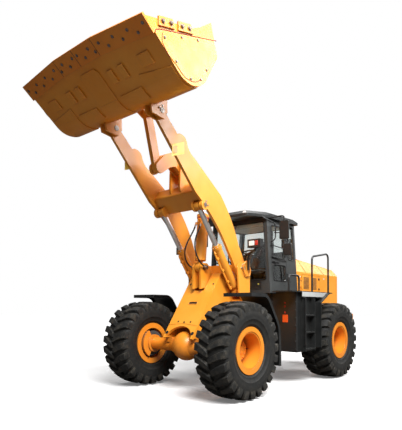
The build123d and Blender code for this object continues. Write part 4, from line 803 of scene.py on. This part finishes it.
# %% Weld beads, blade seams and side bolts on the bucket
SIDE_X = 1471     # just outside the bucket's side
seam = [(-2212, 4970), (-2131, 5040), (-1560, 5218), (-999, 5394)]
inner = [(-2083, 5013), (-2082, 4899), (-1980, 4785), (-1822, 4698), (-1665, 4605), (-1476, 4603), (-1322, 4690)]
beads = mirrored(tube(side_places(SIDE_X, seam), 0.007, 6, 4), tube(side_places(SIDE_X, inner), 0.006, 6, 4))
piece("bucket_beads", beads, seam_red, "bucket", 40)
splits = [bucket_plate(rectangle(x - 0.003, x + 0.003, 1.105, 1.352), -0.2710, -0.2690, 0.0005) for x in (0.455, 0.0)]
piece("blade_splits", mirrored(*splits), black_paint, "bucket", 30)
dots = [(-2042, 4973), (-1722, 5119), (-1397, 5223), (-1822, 4749), (-1537, 4623), (-1328, 4694), (-1207, 4875)]
bolts("side_bolts", 0.034, side_places(SIDE_X - 0.5, dots), WAY_X, steel, "bucket", 0.4, both=True)

# %% Bolts of the side cutters: along the bucket's upper side edge, in (a, b), and a little way in from it
EDGE_TOP, EDGE_WAY, EDGE_IN = np.array([0.706, 0.491]), np.array([0.591, -0.807]), np.array([-0.807, -0.591])
CUTTER_X = 1.4948     # the cutters' outer face
runs = np.array([[0.095], [0.245], [0.465], [0.615]])
spots = in_bucket(np.column_stack([np.full(4, CUTTER_X), EDGE_TOP + runs * EDGE_WAY + 0.030 * EDGE_IN]))
bolts("cutter_bolts", 0.052, spots, WAY_X, steel, "bucket", both=True)


# %% Pin keepers and pin caps
def keeper(name, body, x, pin, way, pin_radius):
    """A keeper plate let into a pin's side: an eased bar standing on face x, with two bolts, on both sides."""
    along = np.array([0.0, *way])
    across = square_to(along)
    centre = at(x, *pin) + across * pin_radius * 0.9
    corners = np.array([centre + along * a + across * b for a, b in rectangle(-0.06, 0.06, -0.016, 0.016)])
    keeper_bar = on_side(plate(corners[:, 1:], centre[0] - 0.002, centre[0] + 0.008, 0.002))
    piece(name, mirrored(keeper_bar), yellow, body, 30)
    spots = [centre + along * a + 0.008 * WAY_X for a in (-0.038, 0.038)]
    bolts(name + "_bolts", 0.024, spots, WAY_X, zinc, body, both=True)


def caps(name, body, radius, x, pin):
    """A turned cap with a grease nipple on each end of a pin."""
    profile = [(radius, -0.001), (radius - 0.004, 0.0025), (radius * 0.6, 0.0025), (radius * 0.55, 0.005),
               (0.007, 0.006), (0.004, 0.012), (0, 0.006)]
    piece(name, mirrored(copies(turned(profile, 24), at(x, *pin), WAY_X)), steel, body)


keeper("bucket_pin_keepers", "bucket", 630, HINGE_PIN, (0.8, 0.6), 0.058)
keeper("boom_pin_keepers", "front_frame", 625, BOOM_PIN, (0.6, 0.8), 0.070)
keeper("lift_eye_keepers", "boom", 592, LIFT_EYE_PIN, (0.6, -0.8), 0.062)
caps("bucket_pin_caps", "bucket_pins", 0.040, 640, HINGE_PIN)
caps("boom_pin_caps", "front_frame", 0.050, 637, BOOM_PIN)
caps("lift_eye_caps", "boom", 0.044, 602, LIFT_EYE_PIN)
caps("lift_base_caps", "front_frame", 0.034, 615, LIFT_BASE_PIN)

# %% [markdown]
# ### The cylinders' glands and pipes
# Each cylinder's front end is a screwed gland with a ring of bolts. A steel pipe takes the oil from the base of the
# barrel to the gland. The way along a cylinder and the way out of it are two unit vectors at right angles.

# %% Glands and pipes
lift_way, lift_out = LIFT[1], square_to(LIFT[1])
BARREL_R = 0.078
spots = [beside(LIFT, 1.0, BARREL_R * math.cos(t), BARREL_R * math.sin(t)) for t in full_turn(8) + 0.2]
bolts("lift_gland_bolts", 0.020, spots, lift_way, zinc, "lift_barrels", 0.6, both=True)
pipe = [(0.13, BARREL_R), (0.14, 0.112), (0.20, 0.122), (0.55, 0.122), (0.86, 0.122), (0.93, 0.112),
        (0.945, BARREL_R)]
clamp = block(-0.022, 0.022, -0.020, 0.020, 0.0, 0.056, 0.003)
clamps = copies(clamp, [beside(LIFT, run, BARREL_R) for run in (0.30, 0.55, 0.80)], lift_out, lift_way)
lift_pipe = tube([beside(LIFT, *spot) for spot in pipe], 0.013, 10)
piece("lift_pipes", mirrored(lift_pipe, clamps), yellow, "lift_barrels")
ring = turned([(0.1045, 0.930), (0.112, 0.934), (0.112, 0.996), (0.106, 1.002), (0.104, 1.002)], 40)
piece("tilt_gland_ring", copies(ring, TILT[0], TILT[1], WAY_X), red_paint, "tilt_barrel", 40)
cuff = turned([(0, -0.012), (0.017, -0.012), (0.019, -0.010), (0.019, 0.004), (0.0165, 0.006), (0.0165, 0.050),
               (0.0150, 0.052), (0, 0.052)], 12)
ends = [[beside(TILT, run, out, side * x) for run, out, x in pair]
        for side in (1, -1) for pair in (HOSE_ROUTE[:2], HOSE_ROUTE[:-3:-1])]
fittings = copies(cuff, [start for start, _ in ends], [second - start for start, second in ends], WAY_X)
piece("tilt_hose_fittings", fittings, zinc, "tilt_barrel")

# %% [markdown]
# ### Front frame and boom details
# A blank plate on the boom; bolts, a rimmed slot and a weld line on the sloped front plate, with black discs of
# painted shade at its two bores and a black face of painted shade in the slot; tie-down hooks on the towers and the
# steel pipes at the lift cylinders' feet.

# %% Boom plate
outline = [(-999, 4074), (-723, 4183), (-721, 3986), (-997, 3882)]
piece("boom_plate", mirrored(plate_x(outline, 579.5, 583)), plate_yellow, "boom", 30)
inset = [(-980, 4040), (-880, 4080), (-880, 3960), (-980, 3920)]
piece("boom_plate_panel", mirrored(plate_x(inset, 582, 584)), yellow, "boom", 30, slot="")

# %% Front plate
PLATE_OUT, PLATE_UP = np.array([0.0, -0.825, 0.565]), np.array([0.0, 0.565, 0.825])
SLOT_V = 752     # the slot's height up the plate


def on_front_plate(u, v, out=0.0):
    """Across and up the sloped front plate, and off it, in millimetres from the middle of its foot."""
    return at(u, -261, 950.3) + (v * PLATE_UP + out * PLATE_OUT) / 1000


spots = [on_front_plate(u, v) for u, v in ((150, 340), (-150, 340), (0, 330), (280, 1180), (-280, 1180))]
bolts("front_plate_bolts", 0.028, spots, PLATE_OUT, black_plastic, "front_frame", 0.4)
# Painted shade: flat black discs stand for the shade inside the plate's two bores, and a black face for the shade in
# the slot.
hole_shade = turned([(0.035, -0.001), (0.035, 0.002), (0, 0.002)], 28)
hole_shades = copies(hole_shade, [on_front_plate(u, 104) for u in (-310, 310)], PLATE_OUT, PLATE_UP)
slot_outline = rounded(-0.105, 0.105, -0.026, 0.026, 0.025, 6)
slot_shade_face = copies(plate(slot_outline, -0.001, 0.0015, 0.0005), on_front_plate(0, SLOT_V), PLATE_OUT, PLATE_UP)
piece("front_plate_hole_shades", joined(hole_shades, slot_shade_face), black_plastic, "front_frame")
rim = [on_front_plate(1000 * u, SLOT_V + 1000 * v, 2) for u, v in slot_outline]
piece("front_plate_slot_rim", swept(rim, 0.007, 8, (0.9, 0.3, 0.1), closed=True), yellow, "front_frame", 40)
weld = swept([on_front_plate(u, 305 - abs(u) * 0.10, 1) for u in (-345, -200, 0, 200, 345)], 0.006, 6, WAY_Z)
piece("front_plate_weld", weld, yellow, "front_frame", 40)

# %% Tower hooks and foot pipes
hook = places((626, 929, 2346), (655, 905, 2348), (655, 833, 2283), (655, 850, 2170), (655, 897, 2100),
              (655, 965, 2085), (655, 1027, 2107), (655, 1045, 2200), (626, 1027, 2297))
piece("tower_hooks", mirrored(tube(hook, 0.013, 10)), deep_yellow, "front_frame", 40)
foot = [(0.200, -0.070), (0.204, -0.106), (0.240, -0.126), (0.330, -0.128), (0.376, -0.108), (0.385, -0.070)]
loops = [tube([beside(LIFT, *spot, x) for spot in foot], 0.009) for x in (-0.050, -0.018, 0.014)]
piece("foot_pipes", mirrored(*loops), white_plate, "lift_barrels", 40)
print("bucket, boom and cylinder details made")

# %% [markdown]
# ## The cab
# The shell, its window openings and its glass come from the CAD part. What a driver would notice is added here: the
# rubber seals round the panes, the door's bars and handle, the lamps, the mirrors, and the room inside with its
# seat, its console and its levers.

# %% Cab walls and window seals
WINDSCREEN_Y, REAR_WINDOW_Y = 1558, 2642
FLOOR_Z, WINDOW_HEAD_Z, ROOF_Z = 1780, 3203, 3265


def wall_x(z):
    """How far out the cab's side wall is at a height: it leans in by 85 mm from the floor to the roof."""
    return 770 - 85 * (np.asarray(z, float) - FLOOR_Z) / (ROOF_Z - FLOOR_Z)


def on_wall(y, z, out):
    """A point off the cab's left wall."""
    return float(wall_x(z)) + out, y, z


def seals(*outlines):
    """Rubber beads round windows: each is a round bar through the outline's points, back to where it began."""
    return joined(*(swept(outline, 0.011, 8, (0.3, 0.5, 0.8), closed=True) for outline in outlines))


def side_outline(y0, y1, z0, z1):
    """A round-cornered rectangle laid on the leaning side wall, 2 mm off it."""
    y, z = rounded(y0, y1, z0, z1, 45, 6).T
    return places(*zip(wall_x(z) + 2, y, z))


def end_outline(half_low, half_high, z0, z1, y):
    """A round-cornered window at one end of the cab, narrower at its head than at its foot."""
    x, z = rounded(-half_low, half_low, z0, z1, 45, 6).T
    return places(*zip(x * (1 + (half_high / half_low - 1) * (z - z0) / (z1 - z0)), np.full(len(x), y), z))


left_rear = side_outline(2310, 2560, 2490, WINDOW_HEAD_Z)
right_side = side_outline(1680, 2560, 2070, WINDOW_HEAD_Z) * TWIN
windscreen = end_outline(684.5, 618.5, 2050, WINDOW_HEAD_Z, WINDSCREEN_Y)
rear_window = end_outline(647, 618.5, 2700, WINDOW_HEAD_Z, REAR_WINDOW_Y)
piece("window_seals", seals(left_rear, right_side, windscreen, rear_window), seal_rubber, smooth=40)
panes = [side_outline(1710, 2190, z0, z1) for z0, z1 in ((2485, 3147), (2035, 2355))]
piece("door_seals", seals(*panes), seal_rubber, "cab_door", 40)

# %% Door bars, handle and hinges
rails = [bar([on_wall(1667, 2735, 0), on_wall(1700, 2733, 26), on_wall(2060, 2710, 26), on_wall(2206, 2705, 0)]),
         bar([on_wall(1689, 2506, 0), on_wall(1720, 2502, 26), on_wall(2170, 2455, 26), on_wall(2208, 2452, 0)])]
piece("door_bars", joined(*rails), black_plastic, "cab_door", 40)
x = float(wall_x(2407))
handle = bricks((x - 2, x + 12, 1690, 1950, 2385, 2428, 0.006), (x + 10, x + 40, 1716, 1742, 2396, 2416, 0.005),
                (x + 30, x + 46, 1716, 1850, 2394, 2418, 0.006))
piece("door_handle", handle, black_plastic, "cab_door")
hinges = [bar([on_wall(2240, z + dz, 8) for dz in (-55, 0, 55)], 0.014) for z in (2140, 2600, 3080)]
piece("door_hinges", joined(*hinges), black_paint, smooth=40)

# %% Wiper and roof lamps
wiper = joined(bar([(0, 1552, 3215), (-40, 1540, 3190), (-250, 1541, 2700)], 0.007),
               bricks((-262, -238, 1543, 1555, 2400, 2960, 0.002), (-70, 70, 1545, 1560, 3205, 3240, 0.004)))
piece("wiper", wiper, black_plastic)
LAMP_R = 0.048
bowl = turned([(0, -0.070), (LAMP_R * 0.7, -0.070), (LAMP_R * 0.95, -0.028), (LAMP_R, 0.0), (LAMP_R * 0.94, 0.004),
               (LAMP_R * 0.90, 0.0), (0, 0.0)], 24)
lens = turned([(0, 0.0005), (LAMP_R * 0.90, 0.0005), (LAMP_R * 0.86, 0.006), (0, 0.010)], 24)
spots, ways = places((500, 1075, 3325), (500, 2708, 3325)), [-WAY_Y, WAY_Y]
piece("roof_lamp_bowls", mirrored(copies(bowl, spots, ways)), black_plastic)
piece("roof_lamp_lenses", mirrored(copies(lens, spots, ways)), lens_clear)

# %% Lower front panel, grab tube and mirrors
piece("cab_louvres", bricks(*((300, 570, 1553, 1561, z, z + 12, 0.002) for z in range(1860, 2040, 26))), louvre_black,
      smooth=30)
piece("cab_marker", bricks((482, 514, 1552, 1561, 1950, 1974, 0.003)), plate_yellow, smooth=30)
grab = bar([(700, 1366, 3270), (760, 1366, 3235), (800, 1440, 3200), (800, 1640, 3170), (800, 1700, 3110),
            (800, 1706, 2900), (790, 1660, 2830), (735, 1640, 2800)], 0.014)
piece("mirror_grab_tube", grab, black_paint, smooth=40)
arm = bar([(790, 1680, 2980), (960, 1690, 2960), (1060, 1700, 2900), (1080, 1700, 2750)])
piece("lower_mirror_arm", arm, black_plastic, smooth=40)
pane, middle = rounded(-90, 90, -115, 115, 25), np.array([1085, 2628])
piece("lower_mirror", plate_y(middle + pane, 1672, 1716, 0.008), black_plastic)
piece("lower_mirror_glass", plate_y(middle + pane * 0.9, 1715, 1718, 0.001), mirror_glass, smooth=30)
for side, label in ((1, "left"), (-1, "right")):
    x0, x1 = side * 1030 - 88, side * 1030 + 88
    panes = [plate_y(rounded(x0, x1, 2925, 3178, 22), 1679, 1683, 0.001),
             plate_y(rounded(x0, x1, 2842, 2912, 14, 4), 1679, 1683, 0.001)]
    piece("mirror_glass_" + label, joined(*panes), mirror_glass, smooth=30)
for name, x0, x1, material in (("headlamp_lenses", 806, 926, lens_clear), ("turn_lenses", 936, 1002, lens_red)):
    piece(name, mirrored(plate_y(rounded(x0, x1, 2622, 2708, 12, 4), 781, 791, 0.004)), material, "front_frame")

# %% [markdown]
# ### Inside the cab
# A pod of gauges stands on the steering console, a cabinet with two levers on the driver's right, pedals on the
# floor, and a pale lining under the roof. The seat has two cushions, each a crowned form with its own seams.

# %% Gauges, levers, pedals and lining
inside = bricks((-150, 150, 1610, 1750, 2278, 2400, 0.02), (-560, -330, 1900, 2500, 1830, 2330, 0.02),
                (-560, -340, 2200, 2520, 2330, 2400, 0.015), (-680, -600, 1700, 2560, 1830, 2040, 0.012))
piece("cab_cabinets", inside, black_plastic)
gauge = turned([(0, 0), (0.032, 0), (0.036, 0.003), (0.036, 0.008), (0.031, 0.008), (0.030, 0.004), (0, 0.004)], 20)
piece("gauges", copies(gauge, [at(x, 1751, 2345) for x in (-95, -32, 32, 95)], WAY_Y), white_plate)
knob = turned([(0, -0.026), (0.014, -0.022), (0.022, 0.0), (0.016, 0.022), (0, 0.028)], 16)
gaiter = turned([(0, 0), (0.036, 0), (0.028, 0.012), (0.031, 0.020), (0.022, 0.032), (0.024, 0.040), (0.010, 0.06),
                 (0, 0.06)], 20)
levers = []
for x in (-440, -490):
    levers += [bar([(x, 1990, 2325), (x, 1984, 2430), (x + 4, 1966, 2520)], 0.008), copies(gaiter, at(x, 1990, 2328)),
               copies(knob, at(x + 4, 1966, 2535), (0, -0.2, 1.0), WAY_Y)]
piece("control_levers", joined(*levers), black_plastic, smooth=40)
pedals = []
for x in (-250, 240):
    pedals += [plate_y(rounded(x - 35, x + 35, 1850, 1960, 10, 3), 1700, 1712),
               bar([(x, 1706, 1900), (x, 1680, 1990), (x, 1640, 2050)], 0.009)]
piece("pedals", joined(*pedals), black_plastic)
lining = bricks((-610, 610, 1610, 2590, 3200, 3214, 0.004), (-600, 600, 1612, 1626, 3120, 3204, 0.004))
piece("headlining", lining, beige_trim)
piece("floor_mat", bricks((-600, 600, 1620, 2580, 1829, 1842, 0.003)), seal_rubber)


# %% Seat cushions
def squared(value, power):
    """The value to a power with its sign kept. With a power below 1 it turns a circle into a rounded square."""
    return np.sign(value) * np.abs(value) ** power


def tipped(points, lean, centre):
    """Points turned about X by lean degrees, then moved to a centre."""
    c, s = math.cos(math.radians(lean)), math.sin(math.radians(lean))
    return points @ np.array([[1, 0, 0], [0, c, -s], [0, s, c]]).T + centre


def cushion(centre, half, lean, channels, name):
    """A crowned cushion: a rounded block |x/a|^5 + |y/b|^5 + |z/c|^2.7 = 1 whose top swells to the middle and dips
    along the sewn channels, given as places across it. It is tipped by lean and rides with the seat."""
    rows, cols = 28, 48
    v = np.linspace(-math.pi / 2, math.pi / 2, rows)[:, None]
    u = full_turn(cols)[None]
    x = half[0] * squared(np.cos(v), 0.40) * squared(np.cos(u), 0.40)
    y = half[1] * squared(np.cos(v), 0.40) * squared(np.sin(u), 0.40)
    z = half[2] * squared(np.sin(v), 0.75) * np.ones_like(u)
    crown = (1 - (x / half[0]) ** 2) * (1 - (y / half[1]) ** 2)
    dip = sum(np.exp(-((x / half[0] - c) / 0.035) ** 2) for c in channels)
    z = np.where(z > 0, z * (0.80 + 0.35 * crown) - 0.007 * dip, z)
    points = tipped(np.stack([x, y, z], -1).reshape(-1, 3), lean, centre)
    obj = piece(name, (points, grid_faces(rows, cols)), cloth, smooth=60)
    rounder = obj.modifiers.new("rounder", "SUBSURF")
    rounder.levels = rounder.render_levels = 1
    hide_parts("operator_seat")
    return obj


def welt(centre, half, lean):
    """A sewn piping cord round a cushion's edge, kept to its surface."""
    t = full_turn(72)
    x, y = half[0] * squared(np.cos(t), 0.40), half[1] * squared(np.sin(t), 0.40)
    edge = np.stack([x, y, np.full_like(t, 0.012)], -1)
    return swept(tipped(edge, lean, centre), 0.004, 6, (0.2, 0.3, 0.9), closed=True)


SEAT_AT, BACK_AT = at(0, 2290, 2262), at(0, 2492, 2590)
SEAT_LEAN, BACK_LEAN = 4, 98
cushion(SEAT_AT, (0.248, 0.235, 0.058), SEAT_LEAN, (-0.55, 0.55), "seat_cushion")
cushion(BACK_AT, (0.232, 0.262, 0.052), BACK_LEAN, (-0.5, 0.5), "seat_back")
cushion(at(0, 2512, 2885), (0.130, 0.075, 0.040), BACK_LEAN, (), "seat_headrest")
welts = joined(welt(SEAT_AT, (0.247, 0.234), SEAT_LEAN), welt(BACK_AT, (0.231, 0.261), BACK_LEAN))
welts_piece = piece("seat_piping", welts, seal_rubber, smooth=50)
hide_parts("operator_seat")

# %% Seat base: a pleated gaiter, whose radius swings in and out, on a foot plate, under a pan
TALL = 0.36
pleats = [(0.105 + 0.016 * (-1) ** k, h) for k, h in enumerate(np.linspace(0, TALL, 31))]
folds = [(0, 0), *pleats, (0, TALL)]
base = joined(copies(turned(folds, 40), at(0, 2290, 1835)),
              bricks((-170, 170, 2120, 2460, 2190, 2214, 0.006), (-130, 130, 2160, 2420, 1829, 1842, 0.004),
                     (-60, 60, 2528, 2548, 2200, 2600, 0.004)))
seat_base = piece("seat_base", base, black_plastic)
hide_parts("operator_seat")
print("cab fitted out")

# %% [markdown]
# ## The hood, the rear and the decks
# Panel seams and louvres on the hood, latches on its doors, a radiator core behind the grille, lamps and reflectors
# at the back, anti-slip pads on the decks and the treads, and the small marks on the tank's front face.


# %% Hood seams, louvres and latches
def hood_seam(y_crease, y_top):
    """A seam over the hood: up one slope, across the top and down the other. The top falls by 170 mm in 2290."""
    z = 2640 - 170 * (y_top - 2760) / 2290 + 1
    path = places((-562, y_crease, 2285), (-561, y_crease, 2300), (-401, y_top, z), (401, y_top, z),
                  (561, y_crease, 2300), (562, y_crease, 2285))
    fine = np.concatenate([np.linspace(path[k], path[k + 1], 8, endpoint=k == 4) for k in range(5)])
    return swept(fine, 0.0035, 6, WAY_Y)


piece("hood_seams", joined(hood_seam(3392, 3267), hood_seam(4287, 4190)), seam_red, smooth=40)
slats = bricks(*((557, 566, y, y + 250, z, z + 13, 0.003) for y in (3290, 3660) for z in range(1920, 2190, 28)))
latch = turned([(0.030, -0.001), (0.030, 0.005), (0.024, 0.008), (0.012, 0.008), (0.012, 0.014), (0, 0.014)], 20)
latches = copies(latch, side_places(560, [(4040, 1930), (4040, 2170)]), WAY_X)
for label, place_on in (("left", joined), ("right", other_side)):
    piece("hood_louvres_" + label, place_on(slats), louvre_black, "hood_door_" + label, 30)
    piece("hood_latches_" + label, place_on(latches), black_plastic, "hood_door_" + label)
marker = turned([(0.018, -0.001), (0.018, 0.004), (0.012, 0.006), (0, 0.006)], 16)
piece("hood_markers", mirrored(copies(marker, places((560, 4300, 2190), (560, 3130, 2190)), WAY_X)), white_plate)

# %% Rain cap on the stack
cap = turned([(0, 0.0), (0.052, 0.0), (0.056, 0.004), (0.052, 0.008), (0, 0.012)], 28)
lid = copies(cap, at(-230, 3162, 3275), (0, 0.42, 1.0), WAY_Y)
piece("rain_cap", joined(lid, bar([(-230, 3090, 3250), (-230, 3095, 3262), (-230, 3130, 3270)], 0.007)), black_paint)

# %% Radiator core behind the grille
fins = [(x, x + 6, 4950, 4985, 1520, 2250, 0.001) for x in range(-380, 381, 19)]
tubes = [(-395, 395, 4955, 4975, z, z + 10, 0.002) for z in range(1540, 2250, 44)]
core_frame = [(x0, x1, 4945, 4990, z0, z1, 0.003) for x0, x1, z0, z1 in (
    (-410, -390, 1510, 2260), (390, 410, 1510, 2260), (-410, 410, 2250, 2275), (-410, 410, 1500, 1522))]
piece("radiator_core", bricks(*fins, *tubes, *core_frame), iron, smooth=30)
latch = turned([(0.022, -0.001), (0.022, 0.004), (0.010, 0.006), (0.010, 0.012), (0, 0.012)], 16)
latches = copies(latch, side_places(395, [(5050, 1620), (5050, 2150)]), WAY_Y)
piece("grille_latches", latches, black_plastic, "rear_grille")

# %% Rear lamps, reflectors and counterweight bolts
frames = plate_y(rounded(610, 830, 1205, 1295, 14, 4), 5335, 5343)
piece("rear_lamp_frames", mirrored(frames), black_plastic)
for name, x0, x1, material in (("rear_lamp_red", 640, 730, lens_red), ("rear_lamp_amber", 738, 820, lens_amber)):
    piece(name, mirrored(plate_y(rounded(x0, x1, 1214, 1286, 10, 4), 5342, 5346, 0.002)), material)
number_plate = plate_y(rounded(-430, -190, 1190, 1300, 10, 4), 5337, 5343, 0.002)
piece("blank_number_plate", number_plate, white_plate, smooth=30)
spots = places((300, 5340, 700), (300, 5340, 1080), (560, 5340, 700))
bolts("counterweight_bolts", 0.060, spots, WAY_Y, steel, tall=0.10, both=True, slot="")

# %% Anti-slip studs on the decks, and the ladders
stud = block(-0.011, 0.011, -0.004, 0.004, -0.001, 0.003, 0.001)
x, y = np.meshgrid(np.arange(1020, 1331, 44), np.arange(1720, 3040, 40))
spots = places(*zip(x.ravel(), y.ravel(), np.full(x.size, 1812)))
lean = np.where((np.indices(x.shape).sum(0) % 2 == 0).ravel(), 1.0, -1.0)
ups = np.stack([lean, np.ones(x.size), np.zeros(x.size)], -1)
piece("deck_studs", mirrored(copies(stud, spots, np.tile(WAY_Z, (x.size, 1)), ups)), black_paint, smooth=30)
TREAD_Z = (680, 1000, 1330)
treads = [(1286, 1376, 1864, 2244, z + 24, z + 29, 0.002) for z in TREAD_Z]
teeth = [(1374, 1384, y, y + 22, z + 4, z + 30, 0.002) for z in TREAD_Z for y in range(1870, 2230, 44)]
piece("tread_grips", mirrored(bricks(*treads, *teeth)), black_paint, smooth=30)
piece("skirt_bands", mirrored(bricks((1349, 1353, 1775, 2830, 1708, 1800, 0.002))), light_grey, smooth=30)
rail = bar([(1350, 1850, 1700), (1384, 1836, 1672), (1390, 1834, 1620), (1390, 1834, 860), (1384, 1836, 800),
            (1350, 1850, 770)], 0.011)
piece("ladder_rails", mirrored(rail), black_paint, smooth=40)

# %% Marks and bolts on the tanks
button = turned([(0.020, -0.001), (0.020, 0.006), (0.013, 0.009), (0, 0.009)], 16)
spots = [at(1019, 1700, z) for z in (1583, 1515, 1398)]
piece("tank_buttons", mirrored(copies(button, spots, -WAY_Y)), lens_red)
tank_plate = plate_y(rounded(965, 1084, 1208, 1355, 8, 3), 1693, 1701, 0.002)
piece("tank_plate", mirrored(tank_plate), lens_amber, smooth=30)
spots = [at(x, 1700, z) for x in (730, 1250) for z in range(700, 1780, 150)]
bolts("tank_bolts", 0.030, spots, -WAY_Y, black_plastic, tall=0.45, both=True)
straps = bricks(*((1279, 1285, y, y + 45, 650, 1785, 0.002) for y in (1745, 2340)))
piece("tank_straps", mirrored(straps), black_paint, smooth=30)
print("hood, rear and decks dressed")

# %% [markdown]
# ## Studio
# A pale floor and soft lamps, as in a product studio. The floor answers the camera with white and the rest of the
# scene with a duller grey, so that it does not throw light up under the bucket. The world is white to the camera
# and through glass, and a dim even sky to everything else.


# %% Empty trees and the rays that the camera sees
def empty_tree(owner):
    """The node tree of a material or a world, cleared."""
    owner.use_nodes = True
    owner.node_tree.nodes.clear()
    return owner.node_tree


def seen_by_camera(tree):
    """1 for a ray that comes straight from the camera or through glass, and 0 for any other."""
    rays = put_node(tree, "LightPath")
    return put_node(tree, "Math", {0: rays["Is Camera Ray"], 1: rays["Is Transmission Ray"]}, operation="MAXIMUM")[0]


# %% Floor
FLOOR_HALF = 60.0
floor_mesh = bpy.data.meshes.new("studio_floor")
floor_corners = [(x, y, 0) for x, y in rectangle(-FLOOR_HALF, FLOOR_HALF, -FLOOR_HALF, FLOOR_HALF)]
floor_mesh.from_pydata(floor_corners, [], [(0, 1, 2, 3)])
studio_floor = bpy.data.objects.new("studio_floor", floor_mesh)
studio_floor.location.z = -0.001
bpy.context.scene.collection.objects.link(studio_floor)
ground = bpy.data.materials.new("studio_floor")
tree = empty_tree(ground)
pale = put_node(tree, "BsdfDiffuse", {"Color": (0.90, 0.90, 0.90)})[0]
dull = put_node(tree, "BsdfDiffuse", {"Color": (0.16, 0.15, 0.14)})[0]
distance = put_node(tree, "VectorMath", {0: put_node(tree, "TexCoord")["Object"]}, operation="LENGTH")["Value"]
fade = {"Value": distance, "From Min": 3.6, "From Max": 8.0, "To Min": 0.14, "To Max": 1.0}
lift = put_node(tree, "Emission", {"Strength": put_node(tree, "MapRange", fade)["Result"]})[0]
bright = put_node(tree, "AddShader", {0: pale, 1: lift})[0]
either = put_node(tree, "MixShader", {0: seen_by_camera(tree), 1: dull, 2: bright})[0]
put_node(tree, "OutputMaterial", {"Surface": either})
floor_mesh.materials.append(ground)

# %% World
world = bpy.data.worlds.new("studio")
bpy.context.scene.world = world
tree = empty_tree(world)
strength = put_node(tree, "MapRange", {"Value": seen_by_camera(tree), "To Min": 0.15, "To Max": 1.0})["Result"]
sky = put_node(tree, "Background", {"Color": (1.0, 1.0, 1.0), "Strength": strength})[0]
put_node(tree, "OutputWorld", {"Surface": sky})


# %% Lamps
def softbox(name, place, target, size, power):
    """A round area lamp at a place, turned to its target."""
    data = bpy.data.lights.new(name, "AREA")
    data.shape = "DISK"
    data.size = size
    data.energy = power
    lamp = bpy.data.objects.new(name, data)
    bpy.context.scene.collection.objects.link(lamp)
    turn = facing(np.array(place) - np.array(target))[0]
    lamp.matrix_world = Matrix(np.vstack([np.column_stack([turn, place]), [0, 0, 0, 1]]).tolist())


softbox("key", (7.5, -4.5, 10.5), (0, -1.0, 2.5), 5.0, 1900)
softbox("sheen", (8.5, 5.5, 9.5), (1.0, -1.0, 3.5), 6.0, 780)
softbox("glance", (3.5, 12.8, 8.0), (0.5, 2.5, 2.4), 7.0, 300)
softbox("front", (7.0, -8.0, 10.0), (0, -1.0, 1.5), 4.0, 950)
softbox("top", (-1.0, 2.0, 10.0), (0, 1.0, 2.0), 6.0, 500)

# %% [markdown]
# ## Finish
# The colours are judged with the plain Standard view.

# %% The view transform
bpy.context.scene.view_settings.view_transform = "Standard"
